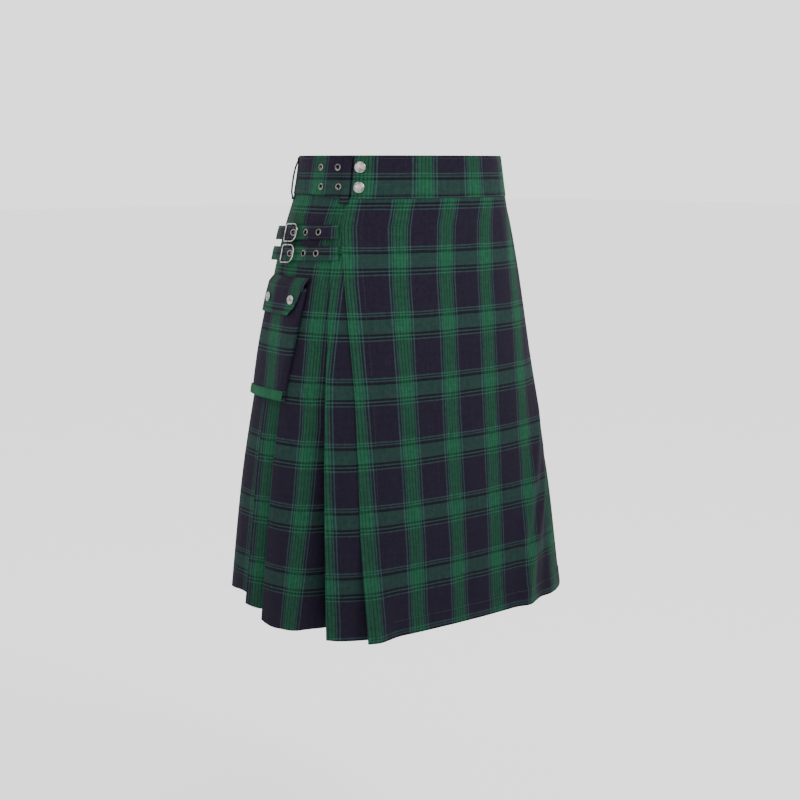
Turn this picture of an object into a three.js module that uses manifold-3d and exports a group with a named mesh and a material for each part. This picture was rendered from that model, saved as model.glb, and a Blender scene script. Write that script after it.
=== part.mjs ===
// A tartan utility kilt, worn and hollow: a wrap of two aprons and knife pleats under a waistband,
// with two side straps and buckles, a cargo pocket, snaps, eyelets and belt loops.
// Millimetres, +Z up. The origin is the middle of the waist opening at half the waistband's height.
// The front faces -Y and the wearer's left is +X.
// Places on the cloth have three numbers: arc, the way round the skirt from the front middle
// (plus to the wearer's left), drop, the way down from the top edge, and out, the distance that
// a point stands off the skirt's outer form. The pleats use lap = -arc, counted round the
// wearer's right side and the back.
import * as THREE from 'three';
import { mergeVertices } from 'three/addons/utils/BufferGeometryUtils.js';
import Module from 'manifold-3d';

const wasm = await Module();
wasm.setup();

const kiltLength = 610;
const bandHeight = 54;
const backBandHeight = 50;
const waistTop = bandHeight / 2;
const clothWall = 1.2;
const pleatWall = 1.0;
const bandWall = 2.2;
const seam = 0.35;

const ringLevels = [
  { drop: 0, halfWidth: 139.6, front: 112.5, back: 102.0, squareness: 2.42 },
  { drop: 54, halfWidth: 148.5, front: 115.0, back: 109.0, squareness: 2.46 },
  { drop: 90, halfWidth: 159.0, front: 115.8, back: 117.0, squareness: 2.5 },
  { drop: 162, halfWidth: 177.0, front: 117.5, back: 128.0, squareness: 2.57 },
  { drop: 307, halfWidth: 202.5, front: 126.5, back: 143.8, squareness: 2.7 },
  { drop: 432, halfWidth: 222.0, front: 140.0, back: 156.0, squareness: 2.82 },
  { drop: 610, halfWidth: 239.0, front: 160.0, back: 167.0, squareness: 3.0 },
];

// The over apron's free edge, the first three folds and the left join, along the skirt.
const foldLines = [
  { drop: 54, freeEdge: 150, foldA: 162, foldB: 205, foldC: 240, join: 182 },
  { drop: 90, freeEdge: 159, foldA: 170, foldB: 219, foldC: 252, join: 193 },
  { drop: 160, freeEdge: 160, foldA: 179, foldB: 238, foldC: 270, join: 213 },
  { drop: 300, freeEdge: 157, foldA: 194, foldB: 264, foldC: 301, join: 240 },
  { drop: 400, freeEdge: 161, foldA: 204, foldB: 289, foldC: 324, join: 255 },
  { drop: 500, freeEdge: 166, foldA: 212, foldB: 309, foldC: 345, join: 268 },
  { drop: 610, freeEdge: 170, foldA: 220, foldB: 331, foldC: 370, join: 286 },
];
const pleatCount = 14;
const yokeDrop = 170;
// How far a panel starts behind the fold before it at the hem, and how fast it comes out again.
const hemSteps = [38, 24, 15, 17, 14, 18, 15, 16, 18, 14, 17, 15, 18, 14];
const panelCurves = [1, 2.4, 1.5];
const flatStep = 2 * (pleatWall + seam);
const underYoke = 27;
const underHem = 18;

// Columns of the over apron past its hem strip, and how many of them the under apron reaches.
const apronColumns = 20;
const underApronColumns = 15;
const bandOverEnd = -142;
// Columns of the waistband in one turn, and under its own over end.
const bandTurn = 60;
const bandUnder = 18;
const lapOver = { edge: -160, full: -60 };
const bandLap = { edge: -142, full: -40 };

// Soft flutes of the over apron: a ridge's height and width, and where it starts and ends.
const flutes = [
  { height: 4, width: 15, startArc: 178, startDrop: 350, endArc: 104, endDrop: 520 },
  { height: 3.5, width: 13, startArc: 186, startDrop: 425, endArc: 96, endDrop: 600 },
  { height: -4, width: 14, startArc: 205, startDrop: 400, endArc: 140, endDrop: 610 },
];
const cornerFlare = 16;
// Where round the skirt, from 0 in front to 1 behind, the band's low edge and the hem rise.
const bandRise = { from: 0.36, to: 0.49 };
const hemStep = { height: 2.5, from: 0.305, to: 0.345 };
const hemRise = { height: 24, from: 0.435, to: 0.6 };
// How far the hem lifts with the depth of a hidden layer, down to a greatest depth.
const hemLift = { rate: 0.35, deepest: 15 };

const pocket = { lap: 210, drop: 156, slant: 0.32, width: 90, bottom: 311, stand: 4.4 };
const pocketBandHeight = 11.5;
const flapDepth = 47;
// How far the flap's front edge lies behind the pocket's, at three places down.
const flapFront = [{ drop: 0, across: -1 }, { drop: 37, across: 7.5 }, { drop: flapDepth, across: 17 }];
const flapSnap = { inset: 17, down: 27, radius: 6.2, rise: 2.4 };

const strapWidth = 18;
const strapWall = 1.4;
const tabWall = 1.0;
const tabWidth = 14.5;
// The straps are sewn on this far behind the over apron's free edge.
const strapInset = 5;
const straps = [
  { name: 'upper', drop: 95.5, buckleLap: 247, eyelets: [194, 218.5, 241.7], tip: 299 },
  { name: 'lower', drop: 122, buckleLap: 252, eyelets: [198, 221, 246.7], tip: 304 },
];
// The straps fall a little towards their tips, from where they leave the over apron.
const strapFall = 0.04;
const strapStart = 160;
const buckle = { width: 30.6, height: 25, wire: 1.0, plane: 5.7, bar: 1.0, barOut: 2.9, round: 9.5 };
const tabReach = 42;
const tabGap = 0.4;
const prongSlot = { long: 7, wide: 4, deep: 12, ahead: 3.6 };

const eyelet = { hole: 3.7, barrel: 3.35, bore: 2.85, flange: 4.5, seat: 0.4, rise: 0.85 };
const bandEyelets = { laps: [163, 192], drops: [15, 39.5] };
const waistSnap = { laps: [131.5, 134.5], drops: [15, 40], radius: 7.6, rise: 3.1 };
const beltLoops = [
  { lap: 149.8, width: 11, rise: 1.6, low: 61, foot: 2.8 },
  { lap: 264, width: 12, rise: 3.3, low: 57, foot: 1.05 },
  { lap: 368, width: 12, rise: 3.0, low: 57, foot: 1.05 },
  { lap: 462, width: 12, rise: 3.0, low: 57, foot: 1.05 },
  { lap: 566, width: 12, rise: 3.3, low: 57, foot: 1.05 },
];

const tartan = { color: 0x27503f, roughness: 0.9, metalness: 0 };
const tartanLight = { color: 0x2f6a4a, roughness: 0.9, metalness: 0 };
const metal = { color: 0xc9c6c0, roughness: 0.3, metalness: 1 };

const { lerp, smoothstep, clamp } = THREE.MathUtils;

// Smooth reading of a table's column at a drop, with slopes taken from the rows beside it.
function readTable(table, column, drop) {
  const last = table.length - 1;
  if (drop <= table[0].drop) return table[0][column];
  if (drop >= table[last].drop) return table[last][column];
  let row = 0;
  while (table[row + 1].drop < drop) row++;
  const slope = (from, to) =>
    (table[to][column] - table[from][column]) / (table[to].drop - table[from].drop);
  const span = table[row + 1].drop - table[row].drop;
  const start = slope(Math.max(row - 1, 0), row + 1) * span;
  const end = slope(row, Math.min(row + 2, last)) * span;
  const t = (drop - table[row].drop) / span;
  const a = table[row][column];
  const b = table[row + 1][column];
  const blend = t * t * (3 - 2 * t);
  return a + (b - a) * blend + start * t * (1 - t) ** 2 - end * t * t * (1 - t);
}

// The skirt's outer form at one height: a superellipse, deeper behind than in front.
const ringSteps = 360;
const rings = new Map();
function ringAt(drop) {
  const key = drop.toFixed(2);
  if (rings.has(key)) return rings.get(key);
  const halfWidth = readTable(ringLevels, 'halfWidth', drop);
  const front = readTable(ringLevels, 'front', drop);
  const back = readTable(ringLevels, 'back', drop);
  const power = 2 / readTable(ringLevels, 'squareness', drop);
  const points = [];
  const arcs = [0];
  for (let i = 0; i <= ringSteps; i++) {
    const angle = 2 * Math.PI * (i / ringSteps - 0.5);
    const across = Math.sin(angle);
    const ahead = Math.cos(angle);
    const x = halfWidth * Math.sign(across) * Math.abs(across) ** power;
    const y = -(ahead > 0 ? front : back) * Math.sign(ahead) * Math.abs(ahead) ** power;
    points.push(new THREE.Vector2(x, y));
    if (i > 0) arcs.push(arcs[i - 1] + points[i].distanceTo(points[i - 1]));
  }
  const ring = { points, arcs, length: arcs[ringSteps], middle: arcs[ringSteps / 2] };
  rings.set(key, ring);
  return ring;
}

// A point of the skirt from its arc, drop and out.
function skirtPoint(arc, drop, out) {
  const ring = ringAt(drop);
  const along = ((arc + ring.middle) % ring.length + ring.length) % ring.length;
  let low = 0;
  let high = ringSteps;
  while (high - low > 1) {
    const half = (low + high) >> 1;
    if (ring.arcs[half] <= along) low = half;
    else high = half;
  }
  const share = (along - ring.arcs[low]) / (ring.arcs[high] - ring.arcs[low]);
  const at = ring.points[low].clone().lerp(ring.points[high], share);
  const before = ring.points[(low - 2 + ringSteps) % ringSteps];
  const after = ring.points[(high + 2) % ringSteps];
  const tangent = after.clone().sub(before).normalize();
  return new THREE.Vector3(at.x + tangent.y * out, at.y - tangent.x * out, waistTop - drop);
}

const ringLength = (drop) => ringAt(drop).length;

// How far round an arc lies at a drop, from 0 in front to 1 behind.
function roundShare(arc, drop) {
  const turn = arc / ringLength(drop);
  return 2 * Math.abs(turn - Math.round(turn));
}

// The waistband's lower edge is higher round the back, and the hem rises round the side.
const lowEdge = (round) => lerp(bandHeight, backBandHeight, smoothstep(round, bandRise.from, bandRise.to));
const hemEdge = (round) => kiltLength - hemStep.height * smoothstep(round, hemStep.from, hemStep.to)
  - hemRise.height * smoothstep(round, hemRise.from, hemRise.to);
const bandLow = (arc) => lowEdge(roundShare(arc, bandHeight));

// A drop between the waistband and the hem, from a share of the way down.
function dropAt(arc, share) {
  const round = roundShare(arc, lerp(bandHeight, kiltLength, share));
  return lerp(lowEdge(round) + seam, hemEdge(round), share);
}

// Makes closed bodies of a cloth's grid: grid[row][column] holds an outer and an inner point.
function wall(grid) {
  const rows = grid.length;
  const columns = grid[0].length;
  const points = [];
  const faces = [];
  const outer = (r, c) => r * columns + c;
  const inner = (r, c) => (rows + r) * columns + c;
  for (const side of ['outer', 'inner']) {
    for (const row of grid) {
      for (const cell of row) points.push(cell[side].x, cell[side].y, cell[side].z);
    }
  }
  const quad = (a, b, c, d) => faces.push(a, b, c, a, c, d);
  for (let r = 0; r < rows - 1; r++) {
    for (let c = 0; c < columns - 1; c++) {
      quad(outer(r, c), outer(r + 1, c), outer(r + 1, c + 1), outer(r, c + 1));
      quad(inner(r, c), inner(r, c + 1), inner(r + 1, c + 1), inner(r + 1, c));
    }
    quad(outer(r, 0), inner(r, 0), inner(r + 1, 0), outer(r + 1, 0));
    const end = columns - 1;
    quad(outer(r, end), outer(r + 1, end), inner(r + 1, end), inner(r, end));
  }
  for (let c = 0; c < columns - 1; c++) {
    quad(outer(0, c), outer(0, c + 1), inner(0, c + 1), inner(0, c));
    quad(outer(rows - 1, c), inner(rows - 1, c), inner(rows - 1, c + 1), outer(rows - 1, c + 1));
  }
  return outward(points, faces);
}

// A geometry from points and faces, turned so that its faces point out.
function outward(points, faces) {
  const corner = (index) => new THREE.Vector3().fromArray(points, index * 3);
  let volume = 0;
  for (let i = 0; i < faces.length; i += 3) {
    volume += corner(faces[i]).dot(corner(faces[i + 1]).cross(corner(faces[i + 2])));
  }
  const index = [];
  for (let i = 0; i < faces.length; i += 3) {
    const [a, b, c] = faces.slice(i, i + 3);
    index.push(...(volume > 0 ? [a, b, c] : [a, c, b]));
  }
  const geometry = new THREE.BufferGeometry();
  geometry.setAttribute('position', new THREE.Float32BufferAttribute(points, 3));
  geometry.setIndex(index);
  return geometry;
}

// Offsets a path of (along, deep) pairs to both sides, with mitred corners.
function offsetPath(path, half) {
  return path.map((point, i) => {
    const sides = [];
    if (i > 0) sides.push(point.clone().sub(path[i - 1]).normalize());
    if (i < path.length - 1) sides.push(path[i + 1].clone().sub(point).normalize());
    const normals = sides.map((side) => new THREE.Vector2(side.y, -side.x));
    const sum = normals.reduce((total, normal) => total.clone().add(normal), new THREE.Vector2());
    const mitre = sum.normalize();
    const reach = half / Math.max(mitre.dot(normals[0]), 0.35);
    return {
      outer: point.clone().addScaledVector(mitre, reach),
      inner: point.clone().addScaledVector(mitre, -reach),
    };
  });
}

function toManifold(geometry) {
  const bare = geometry.clone();
  bare.deleteAttribute('normal');
  bare.deleteAttribute('uv');
  const merged = mergeVertices(bare, 1e-4);
  return new wasm.Manifold(new wasm.Mesh({
    numProp: 3,
    vertProperties: new Float32Array(merged.attributes.position.array),
    triVerts: new Uint32Array(merged.index.array),
  }));
}

function fromManifold(solid) {
  const mesh = solid.getMesh();
  const geometry = new THREE.BufferGeometry();
  geometry.setAttribute('position', new THREE.Float32BufferAttribute(mesh.vertProperties, 3));
  geometry.setIndex(Array.from(mesh.triVerts));
  return geometry;
}

const join = (first, second) => fromManifold(toManifold(first).add(toManifold(second)));
const cut = (first, tools) =>
  fromManifold(tools.reduce((solid, tool) => solid.subtract(toManifold(tool)), toManifold(first)));

// The frame of a small piece on the skirt: x runs to larger arcs, y up along the cloth and z out.
function seat(arc, drop, out) {
  const at = skirtPoint(arc, drop, out);
  const x = skirtPoint(arc + 4, drop, out).sub(skirtPoint(arc - 4, drop, out)).normalize();
  const up = skirtPoint(arc, drop - 4, out).sub(skirtPoint(arc, drop + 4, out)).normalize();
  const z = x.clone().cross(up).normalize();
  const y = z.clone().cross(x).normalize();
  return new THREE.Matrix4().makeBasis(x, y, z).setPosition(at);
}

const group = new THREE.Group();
function add(name, geometry, look) {
  const mesh = new THREE.Mesh(geometry, new THREE.MeshStandardMaterial(look));
  mesh.name = name;
  group.add(mesh);
}

const steps = (count) => Array.from({ length: count + 1 }, (_, i) => i / count);

// A point by the waistband's own arc, which is measured at half the band's height.
const bandPoint = (arc, drop, out) =>
  skirtPoint(arc * ringLength(drop) / ringLength(bandHeight / 2), drop, out);

// The waistband: one strip from the snapped over end, round the body and on beneath itself.
function bandOuter(along) {
  const length = ringLength(bandHeight / 2);
  const under = along > length;
  const arc = bandLap.edge + (under ? along - length : along);
  const full = smoothstep(arc, bandLap.edge, bandLap.full);
  const step = bandWall + seam;
  if (under) return 1 - step * full;
  const near = along < length / 2;
  return near ? 1 + step * (1 - full) : 1;
}

function waistband() {
  const length = ringLength(bandHeight / 2);
  const columns = bandTurn + bandUnder;
  const grid = steps(2).map((down) => steps(columns).map((share) => {
    const along = share * columns * length / bandTurn;
    const arc = bandOverEnd + along - (along > length ? length : 0);
    const out = bandOuter(along);
    const drop = down * bandLow(arc * ringLength(bandHeight) / length);
    return { outer: bandPoint(arc, drop, out), inner: bandPoint(arc, drop, out - bandWall) };
  }));
  const drills = [];
  for (const lap of bandEyelets.laps) {
    for (const drop of bandEyelets.drops) drills.push(drill(-lap, drop, eyelet.hole, 6));
  }
  return cut(wall(grid), drills);
}

function drill(arc, drop, radius, depth) {
  const tool = new THREE.CylinderGeometry(radius, radius, 2 * depth, 16);
  tool.rotateX(Math.PI / 2);
  return tool.applyMatrix4(seat(arc, drop, 0));
}

// Relief of the over apron: its free corner stands off and soft flutes run down its left half.
function drape(arc, drop) {
  const corner = smoothstep(drop, 430, kiltLength) * smoothstep(-arc, 105, 160);
  let relief = cornerFlare * corner * corner;
  for (const flute of flutes) {
    const t = clamp((drop - flute.startDrop) / (flute.endDrop - flute.startDrop), 0, 1);
    const fade = smoothstep(drop, flute.startDrop - 90, flute.startDrop + 60);
    const middle = lerp(flute.startArc, flute.endArc, t);
    relief += flute.height * fade * Math.exp(-(((arc - middle) / flute.width) ** 2));
  }
  return relief;
}

const underOut = (arc) => -(clothWall + seam) * smoothstep(arc, lapOver.edge, lapOver.full);

// Every panel of the skirt has its rows at these shares of the way down.
const rowShares = [0, 0.05, 0.13, 0.24, 0.36, 0.49, 0.62, 0.75, 0.88, 1];

// The arcs of the aprons' columns: a doubled hem strip along the free edge, then even steps.
const hemStrip = [0, 8, 20, 26];
function apronArcs(drop) {
  const edge = -readTable(foldLines, 'freeEdge', drop);
  const left = readTable(foldLines, 'join', drop);
  const even = steps(apronColumns).slice(1).map((t) => lerp(edge + hemStrip[3], left, t));
  return [...hemStrip.map((inset) => edge + inset), ...even];
}

function overApron() {
  const grid = rowShares.map((share) => {
    const middle = dropAt(0, share);
    return apronArcs(middle).map((arc, column) => {
      const doubled = column < 3 ? 2 : clothWall;
      const base = underOut(arc) + seam + drape(arc, middle);
      const drop = dropAt(arc, share);
      return { outer: skirtPoint(arc, drop, base + doubled), inner: skirtPoint(arc, drop, base) };
    });
  });
  return wall(grid);
}

// Fold places along the lap, by number: 0 is the under apron's own fold.
function foldAt(number, drop) {
  const named = ['foldA', 'foldB', 'foldC'];
  if (number < named.length) return readTable(foldLines, named[number], drop);
  const first = readTable(foldLines, 'foldC', drop);
  const last = ringLength(drop) - readTable(foldLines, 'join', drop) - joinGap(drop);
  return lerp(first, last, (number - 2) / (pleatCount - 3));
}

const joinGap = (drop) => lerp(6, 14, opening(drop));
const opening = (drop) => smoothstep(drop, yokeDrop, kiltLength) * 0.35
  + 0.65 * clamp((drop - yokeDrop) / (kiltLength - yokeDrop), 0, 1);
const stepAt = (number, drop) => lerp(flatStep + 0.3, hemSteps[number], opening(drop));
const underAt = (drop) => lerp(underYoke, underHem, opening(drop));

// How deep panel number lies at a lap, from 0 at its own fold.
function panelDepth(number, lap, drop) {
  const fold = foldAt(number, drop);
  if (number === 0) return 0;
  const before = foldAt(number - 1, drop);
  const step = stepAt(number - 1, drop);
  if (lap < before) return panelDepth(number - 1, lap, drop) + step;
  const curve = lerp(1, panelCurves[number] ?? 1.2, opening(drop));
  return step * (1 - clamp((lap - before) / (fold - before), 0, 1)) ** curve;
}

// The hairpin under fold number: from the fold back beneath it, and forward again if asked.
function hairpin(number, drop) {
  const fold = foldAt(number, drop);
  const back = fold - underAt(drop);
  const turn = pleatWall + seam;
  const half = pleatWall / 2;
  const deep = panelDepth(number, back, drop) + stepAt(number, drop) / 2;
  return {
    face: new THREE.Vector2(fold - half, half),
    turned: new THREE.Vector2(fold - half, half + turn),
    under: new THREE.Vector2(back + half, half + deep),
    forward: new THREE.Vector2(back + half, half + deep + turn),
  };
}

// A run of pleats from the hidden turn before its first panel to the hidden turn after its last.
function pleats(first, last) {
  const grid = rowShares.map((share) => {
    const drop = lerp(bandHeight + seam, kiltLength, share);
    const path = [];
    for (let number = first; number <= last; number++) {
      const start = hairpin(number - 1, drop);
      const end = hairpin(number, drop);
      const before = foldAt(number - 1, drop);
      path.push(start.forward);
      for (const t of number === 1 ? [0, 0.2, 0.45, 0.72] : [0, 0.3, 0.65]) {
        const lap = lerp(before, end.face.x, t);
        path.push(new THREE.Vector2(lap, panelDepth(number, lap, drop) + pleatWall / 2));
      }
      path.push(end.face, end.turned, end.under);
    }
    if (last === pleatCount - 1) path.push(...joinLayer(last, drop));
    return offsetPath(path, pleatWall / 2).map((cell) => ({
      outer: pleatPoint(cell.outer, share),
      inner: pleatPoint(cell.inner, share),
    }));
  });
  return wall(grid);
}

// Behind the last fold the cloth runs on beneath the over apron's left edge.
function joinLayer(last, drop) {
  const start = hairpin(last, drop);
  const fold = foldAt(last, drop);
  const deep = stepAt(last, drop) + pleatWall / 2 + 0.6;
  return [
    start.forward,
    new THREE.Vector2(fold, deep),
    new THREE.Vector2(fold + joinGap(drop), deep),
    new THREE.Vector2(fold + joinGap(drop) + 24, Math.max(deep * 0.7, 3.2)),
  ];
}

function pleatPoint(cell, share) {
  const lift = hemLift.rate * clamp(cell.y, 0, hemLift.deepest) * share;
  return skirtPoint(-cell.x, dropAt(-cell.x, share) - lift, -cell.y);
}

// The under apron lies beneath the over apron, shows beside its free edge and ends in fold A.
function underApron() {
  const grid = rowShares.map((share) => {
    const drop = lerp(bandHeight + seam, kiltLength, share);
    const end = hairpin(0, drop);
    const path = [];
    for (const arc of apronArcs(drop).slice(0, underApronColumns + 1).reverse()) {
      const relief = Math.min(drape(arc, drop), 0);
      path.push(new THREE.Vector2(-arc, -underOut(arc) - relief + pleatWall / 2));
    }
    path.push(end.face.clone().lerp(path[path.length - 1], 0.4), end.face, end.turned, end.under);
    return offsetPath(path, pleatWall / 2).reverse().map((cell) => ({
      outer: pleatPoint(cell.outer, share),
      inner: pleatPoint(cell.inner, share),
    }));
  });
  return wall(grid);
}

// Pocket places: across from its front edge, down from its top, out from the skirt.
function pocketPoint(across, down, out) {
  const lap = pocket.lap + across + pocket.slant * down;
  return skirtPoint(-lap, pocket.drop + down, out);
}

function pocketBody() {
  const half = clothWall / 2;
  const top = 11;
  const bottom = pocket.bottom - pocket.drop;
  const rows = [0, 0.14, 0.3, 0.48, 0.66, 0.84, 1];
  const grid = rows.map((share) => {
    const down = lerp(top, bottom, share);
    const stand = -(pocket.stand + 1.2 * Math.sin(Math.PI * share));
    const path = [[half, -seam], [half, stand + 1.6], [2.6, stand]];
    for (const t of [0.2, 0.4, 0.6, 0.8]) path.push([t * pocket.width, stand - 0.5]);
    const back = pocket.width - half;
    path.push([pocket.width - 2.6, stand], [back, stand + 1.6], [back, -seam]);
    const line = path.map(([across, deep]) => new THREE.Vector2(across, deep));
    return offsetPath(line, half).map((cell) => ({
      outer: pocketPoint(cell.outer.x, down, -cell.outer.y),
      inner: pocketPoint(cell.inner.x, down, -cell.inner.y),
    }));
  });
  return wall(grid);
}

// The pocket's bottom band: a strip over the body's lower end, turned in beneath it.
function pocketBand() {
  const bottom = pocket.bottom - pocket.drop + seam;
  const face = pocket.stand + clothWall / 2 + 0.5 + seam;
  const profile = [
    { down: bottom - pocketBandHeight, inner: face + 0.3, outer: face + 0.3 + clothWall, drop: 0 },
    { down: bottom, inner: face, outer: face + clothWall, drop: clothWall },
    { down: bottom, inner: seam, outer: seam, drop: clothWall },
  ];
  const grid = profile.map((row) => steps(8).map((t) => {
    const across = lerp(0, pocket.width, t);
    return {
      outer: pocketPoint(across, row.down + row.drop, row.outer),
      inner: pocketPoint(across, row.down, row.inner),
    };
  }));
  return wall(grid);
}

const flapProfile = [
  { down: -1, out: seam },
  { down: 3, out: 3.4 },
  { down: 8, out: 6.1 },
  { down: 22, out: 6.9 },
  { down: 37, out: 7.3 },
  { down: flapDepth, out: 7.6 },
];

// The flap's out at a place on it: its clipped front corner stands off further.
function flapOut(across, down) {
  let row = 0;
  while (row < flapProfile.length - 2 && flapProfile[row + 1].down < down) row++;
  const from = flapProfile[row];
  const to = flapProfile[row + 1];
  const base = lerp(from.out, to.out, (down - from.down) / (to.down - from.down));
  return base + 3 * smoothstep(down, 15, flapDepth) * (1 - smoothstep(across, 5, 45));
}

function pocketFlap() {
  const grid = flapProfile.map(({ down }) => steps(8).map((t) => {
    const across = lerp(readTable(flapFront, 'across', down), pocket.width + 1, t);
    const out = flapOut(across, down);
    return {
      outer: pocketPoint(across, down - 0.2, out + clothWall),
      inner: pocketPoint(across, down, out),
    };
  }));
  return wall(grid);
}

// A body turned about the out axis from (radius, out) pairs.
function turned(profile, segments) {
  const points = profile.map(([radius, out]) => new THREE.Vector2(radius, out));
  return new THREE.LatheGeometry(points, segments).rotateX(Math.PI / 2);
}

// A domed snap cap: flat underneath, set on the cloth at a seat.
function snapCap(radius, rise) {
  const chamfer = 0.5;
  const profile = [[0, 0], [radius - chamfer, 0], [radius, chamfer]];
  for (const t of steps(4)) {
    const angle = t * Math.PI / 2;
    profile.push([radius * 0.97 * Math.cos(angle), 0.9 + (rise - 0.9) * Math.sin(angle)]);
  }
  profile[profile.length - 1][0] = 0;
  return turned(profile, 18);
}

// An eyelet: a flange on the cloth and a barrel through it.
function eyeletRing(depth) {
  const { bore, barrel, flange, seat: under, rise } = eyelet;
  return turned([
    [bore, -depth], [barrel, -depth], [barrel, under], [flange, under],
    [flange - 0.35, rise], [bore + 0.45, rise + 0.25], [bore, rise - 0.2], [bore, -depth],
  ], 12);
}

// Adds points to a path so that none of its stretches is longer than a length.
function refine(path, longest) {
  return path.flatMap((point, i) => {
    if (i === 0) return [point];
    const parts = Math.ceil(point.distanceTo(path[i - 1]) / longest);
    return steps(parts).slice(1).map((t) => path[i - 1].clone().lerp(point, t));
  });
}

// The drop of a strap's middle at a lap.
const fallen = (drop, lap) => drop + strapFall * (lap - strapStart);

// A point of a strap from its lap along the middle, its way across squarely and its out.
function fallenPoint(lap, drop, across, out) {
  const onMiddle = (along) => skirtPoint(-along, fallen(drop, along), out);
  const run = onMiddle(lap + 1).sub(onMiddle(lap - 1)).normalize();
  const level = fallen(drop, lap) + across;
  const astray = skirtPoint(-lap, level, out).sub(onMiddle(lap)).dot(run);
  return skirtPoint(astray - lap, level, out);
}

// A strap's strip: path gives lap and out of its underside, across its width.
function strip(path, width, thick, slantTip = 0) {
  const rows = steps(2);
  const line = refine(path.map(([lap, out]) => new THREE.Vector2(lap, -out - thick / 2)), 9);
  const cells = offsetPath(line, thick / 2);
  const last = cells.length - 1;
  return (drop) => wall(rows.map((share) => cells.map((cell, i) => {
    const across = (share - 0.5) * width;
    const place = (point) => {
      if (i === 0) return skirtPoint(-point.x, fallen(drop, point.x) + across, -point.y);
      return fallenPoint(point.x - (i === last ? slantTip * share : 0), drop, across, -point.y);
    };
    return { outer: place(cell.outer), inner: place(cell.inner) };
  })));
}

// How high the strap's underside lies, by its distance from the buckle's bar.
const strapHeights = [
  { off: -34, out: seam },
  { off: -20, out: seam },
  { off: -14.5, out: 0.7 },
  { off: -10, out: 1.9 },
  { off: -5.3, out: 3.7 },
  { off: -2, out: 5.1 },
  { off: 2, out: 5.5 },
  { off: 6, out: 4.6 },
  { off: 10, out: 3.4 },
  { off: 14.5, out: 2.95 },
  { off: 22, out: 3.0 },
];

function strapBody({ drop, buckleLap, eyelets, tip }) {
  const start = readTable(foldLines, 'freeEdge', drop) + strapInset;
  const path = [[start, seam], [start + 14, seam]];
  for (const { off, out } of strapHeights) path.push([buckleLap + off, out]);
  path.push([lerp(buckleLap + 22, tip, 0.5), 4.6], [tip, 7.4]);
  const body = strip(path, strapWidth, strapWall, 6)(drop);
  return cut(body, eyelets.map((lap) => strapDrill(lap, drop, buckleLap)));
}

// The height of the strap's middle at a lap.
function strapOut(lap, buckleLap) {
  const off = lap - buckleLap;
  const found = strapHeights.findIndex((row) => row.off > off);
  if (found < 1) return seam + strapWall / 2;
  const from = strapHeights[found - 1];
  const to = strapHeights[found];
  return lerp(from.out, to.out, (off - from.off) / (to.off - from.off)) + strapWall / 2;
}

// A frame on a strap's line, turned with its fall.
function fallenSeat(lap, drop, out) {
  const turn = new THREE.Matrix4().makeRotationZ(Math.atan(strapFall));
  return seat(-lap, fallen(drop, lap), out).multiply(turn);
}

// The same frame tipped with the strap where it climbs to the bar.
function strapSeat(lap, drop, buckleLap) {
  const rise = strapOut(lap + 1.5, buckleLap) - strapOut(lap - 1.5, buckleLap);
  const frame = fallenSeat(lap, drop, strapOut(lap, buckleLap));
  return frame.multiply(new THREE.Matrix4().makeRotationY(Math.atan2(rise, 3)));
}

function strapDrill(lap, drop, buckleLap) {
  const tool = new THREE.CylinderGeometry(eyelet.hole, eyelet.hole, 5, 16).rotateX(Math.PI / 2);
  return tool.applyMatrix4(strapSeat(lap, drop, buckleLap));
}

// The tab that holds the buckle: a loop of cloth round the bar, slotted for the prong.
function buckleTab({ drop, buckleLap }) {
  const half = tabWall / 2;
  const low = -(tabGap + half);
  const high = -(buckle.barOut + buckle.bar + tabGap + half);
  const front = -(buckle.bar + tabGap + half);
  const top = low - tabWall - seam;
  const path = [
    [tabReach, low], [9, low], [front + 0.8, low - 0.2], [front, -buckle.barOut + 0.7],
    [front, -buckle.barOut - 0.7], [front + 0.8, high + 0.2], [2.4, high], [9, top], [tabReach - 4, top],
  ];
  const line = path.map(([off, deep]) => new THREE.Vector2(buckleLap + off, deep));
  const cells = offsetPath(line, half);
  const grid = steps(2).map((share) => cells.map((cell) => {
    const place = (point) => fallenPoint(point.x, drop, (share - 0.5) * tabWidth, -point.y);
    return { outer: place(cell.outer), inner: place(cell.inner) };
  }));
  const slot = new THREE.BoxGeometry(prongSlot.long, prongSlot.wide, prongSlot.deep);
  slot.applyMatrix4(fallenSeat(buckleLap - prongSlot.ahead, drop, buckle.barOut));
  return cut(wall(grid), [slot]);
}

// The buckle's frame: a wire bent to a D, straight behind and round in front, with a dropped bar.
function buckleFrame() {
  const halfWidth = buckle.width / 2 - buckle.wire;
  const halfHeight = buckle.height / 2 - buckle.wire;
  const small = 3;
  const outline = new THREE.Shape();
  const round = buckle.round;
  outline.moveTo(halfWidth, 0);
  outline.absarc(halfWidth - round, halfHeight - round, round, 0, Math.PI / 2);
  outline.absarc(-halfWidth + small, halfHeight - small, small, Math.PI / 2, Math.PI);
  outline.absarc(-halfWidth + small, -halfHeight + small, small, Math.PI, 1.5 * Math.PI);
  outline.absarc(halfWidth - round, -halfHeight + round, round, 1.5 * Math.PI, 2 * Math.PI);
  outline.closePath();
  const points = outline.getSpacedPoints(30).slice(0, 30).map(({ x, y }) => new THREE.Vector3(x, y, 0));
  const loop = new THREE.CatmullRomCurve3(points, true);
  const frame = new THREE.TubeGeometry(loop, 30, buckle.wire, 6, true);
  const sink = buckle.barOut - buckle.plane;
  const route = new THREE.CatmullRomCurve3([
    new THREE.Vector3(0, halfHeight, 0), new THREE.Vector3(0, halfHeight - 0.7, sink * 0.7),
    new THREE.Vector3(0, halfHeight - 2, sink), new THREE.Vector3(0, 0, sink),
    new THREE.Vector3(0, -halfHeight + 2, sink), new THREE.Vector3(0, -halfHeight + 0.7, sink * 0.7),
    new THREE.Vector3(0, -halfHeight, 0)]);
  return join(frame, rod(route, buckle.bar, 14));
}

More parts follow.
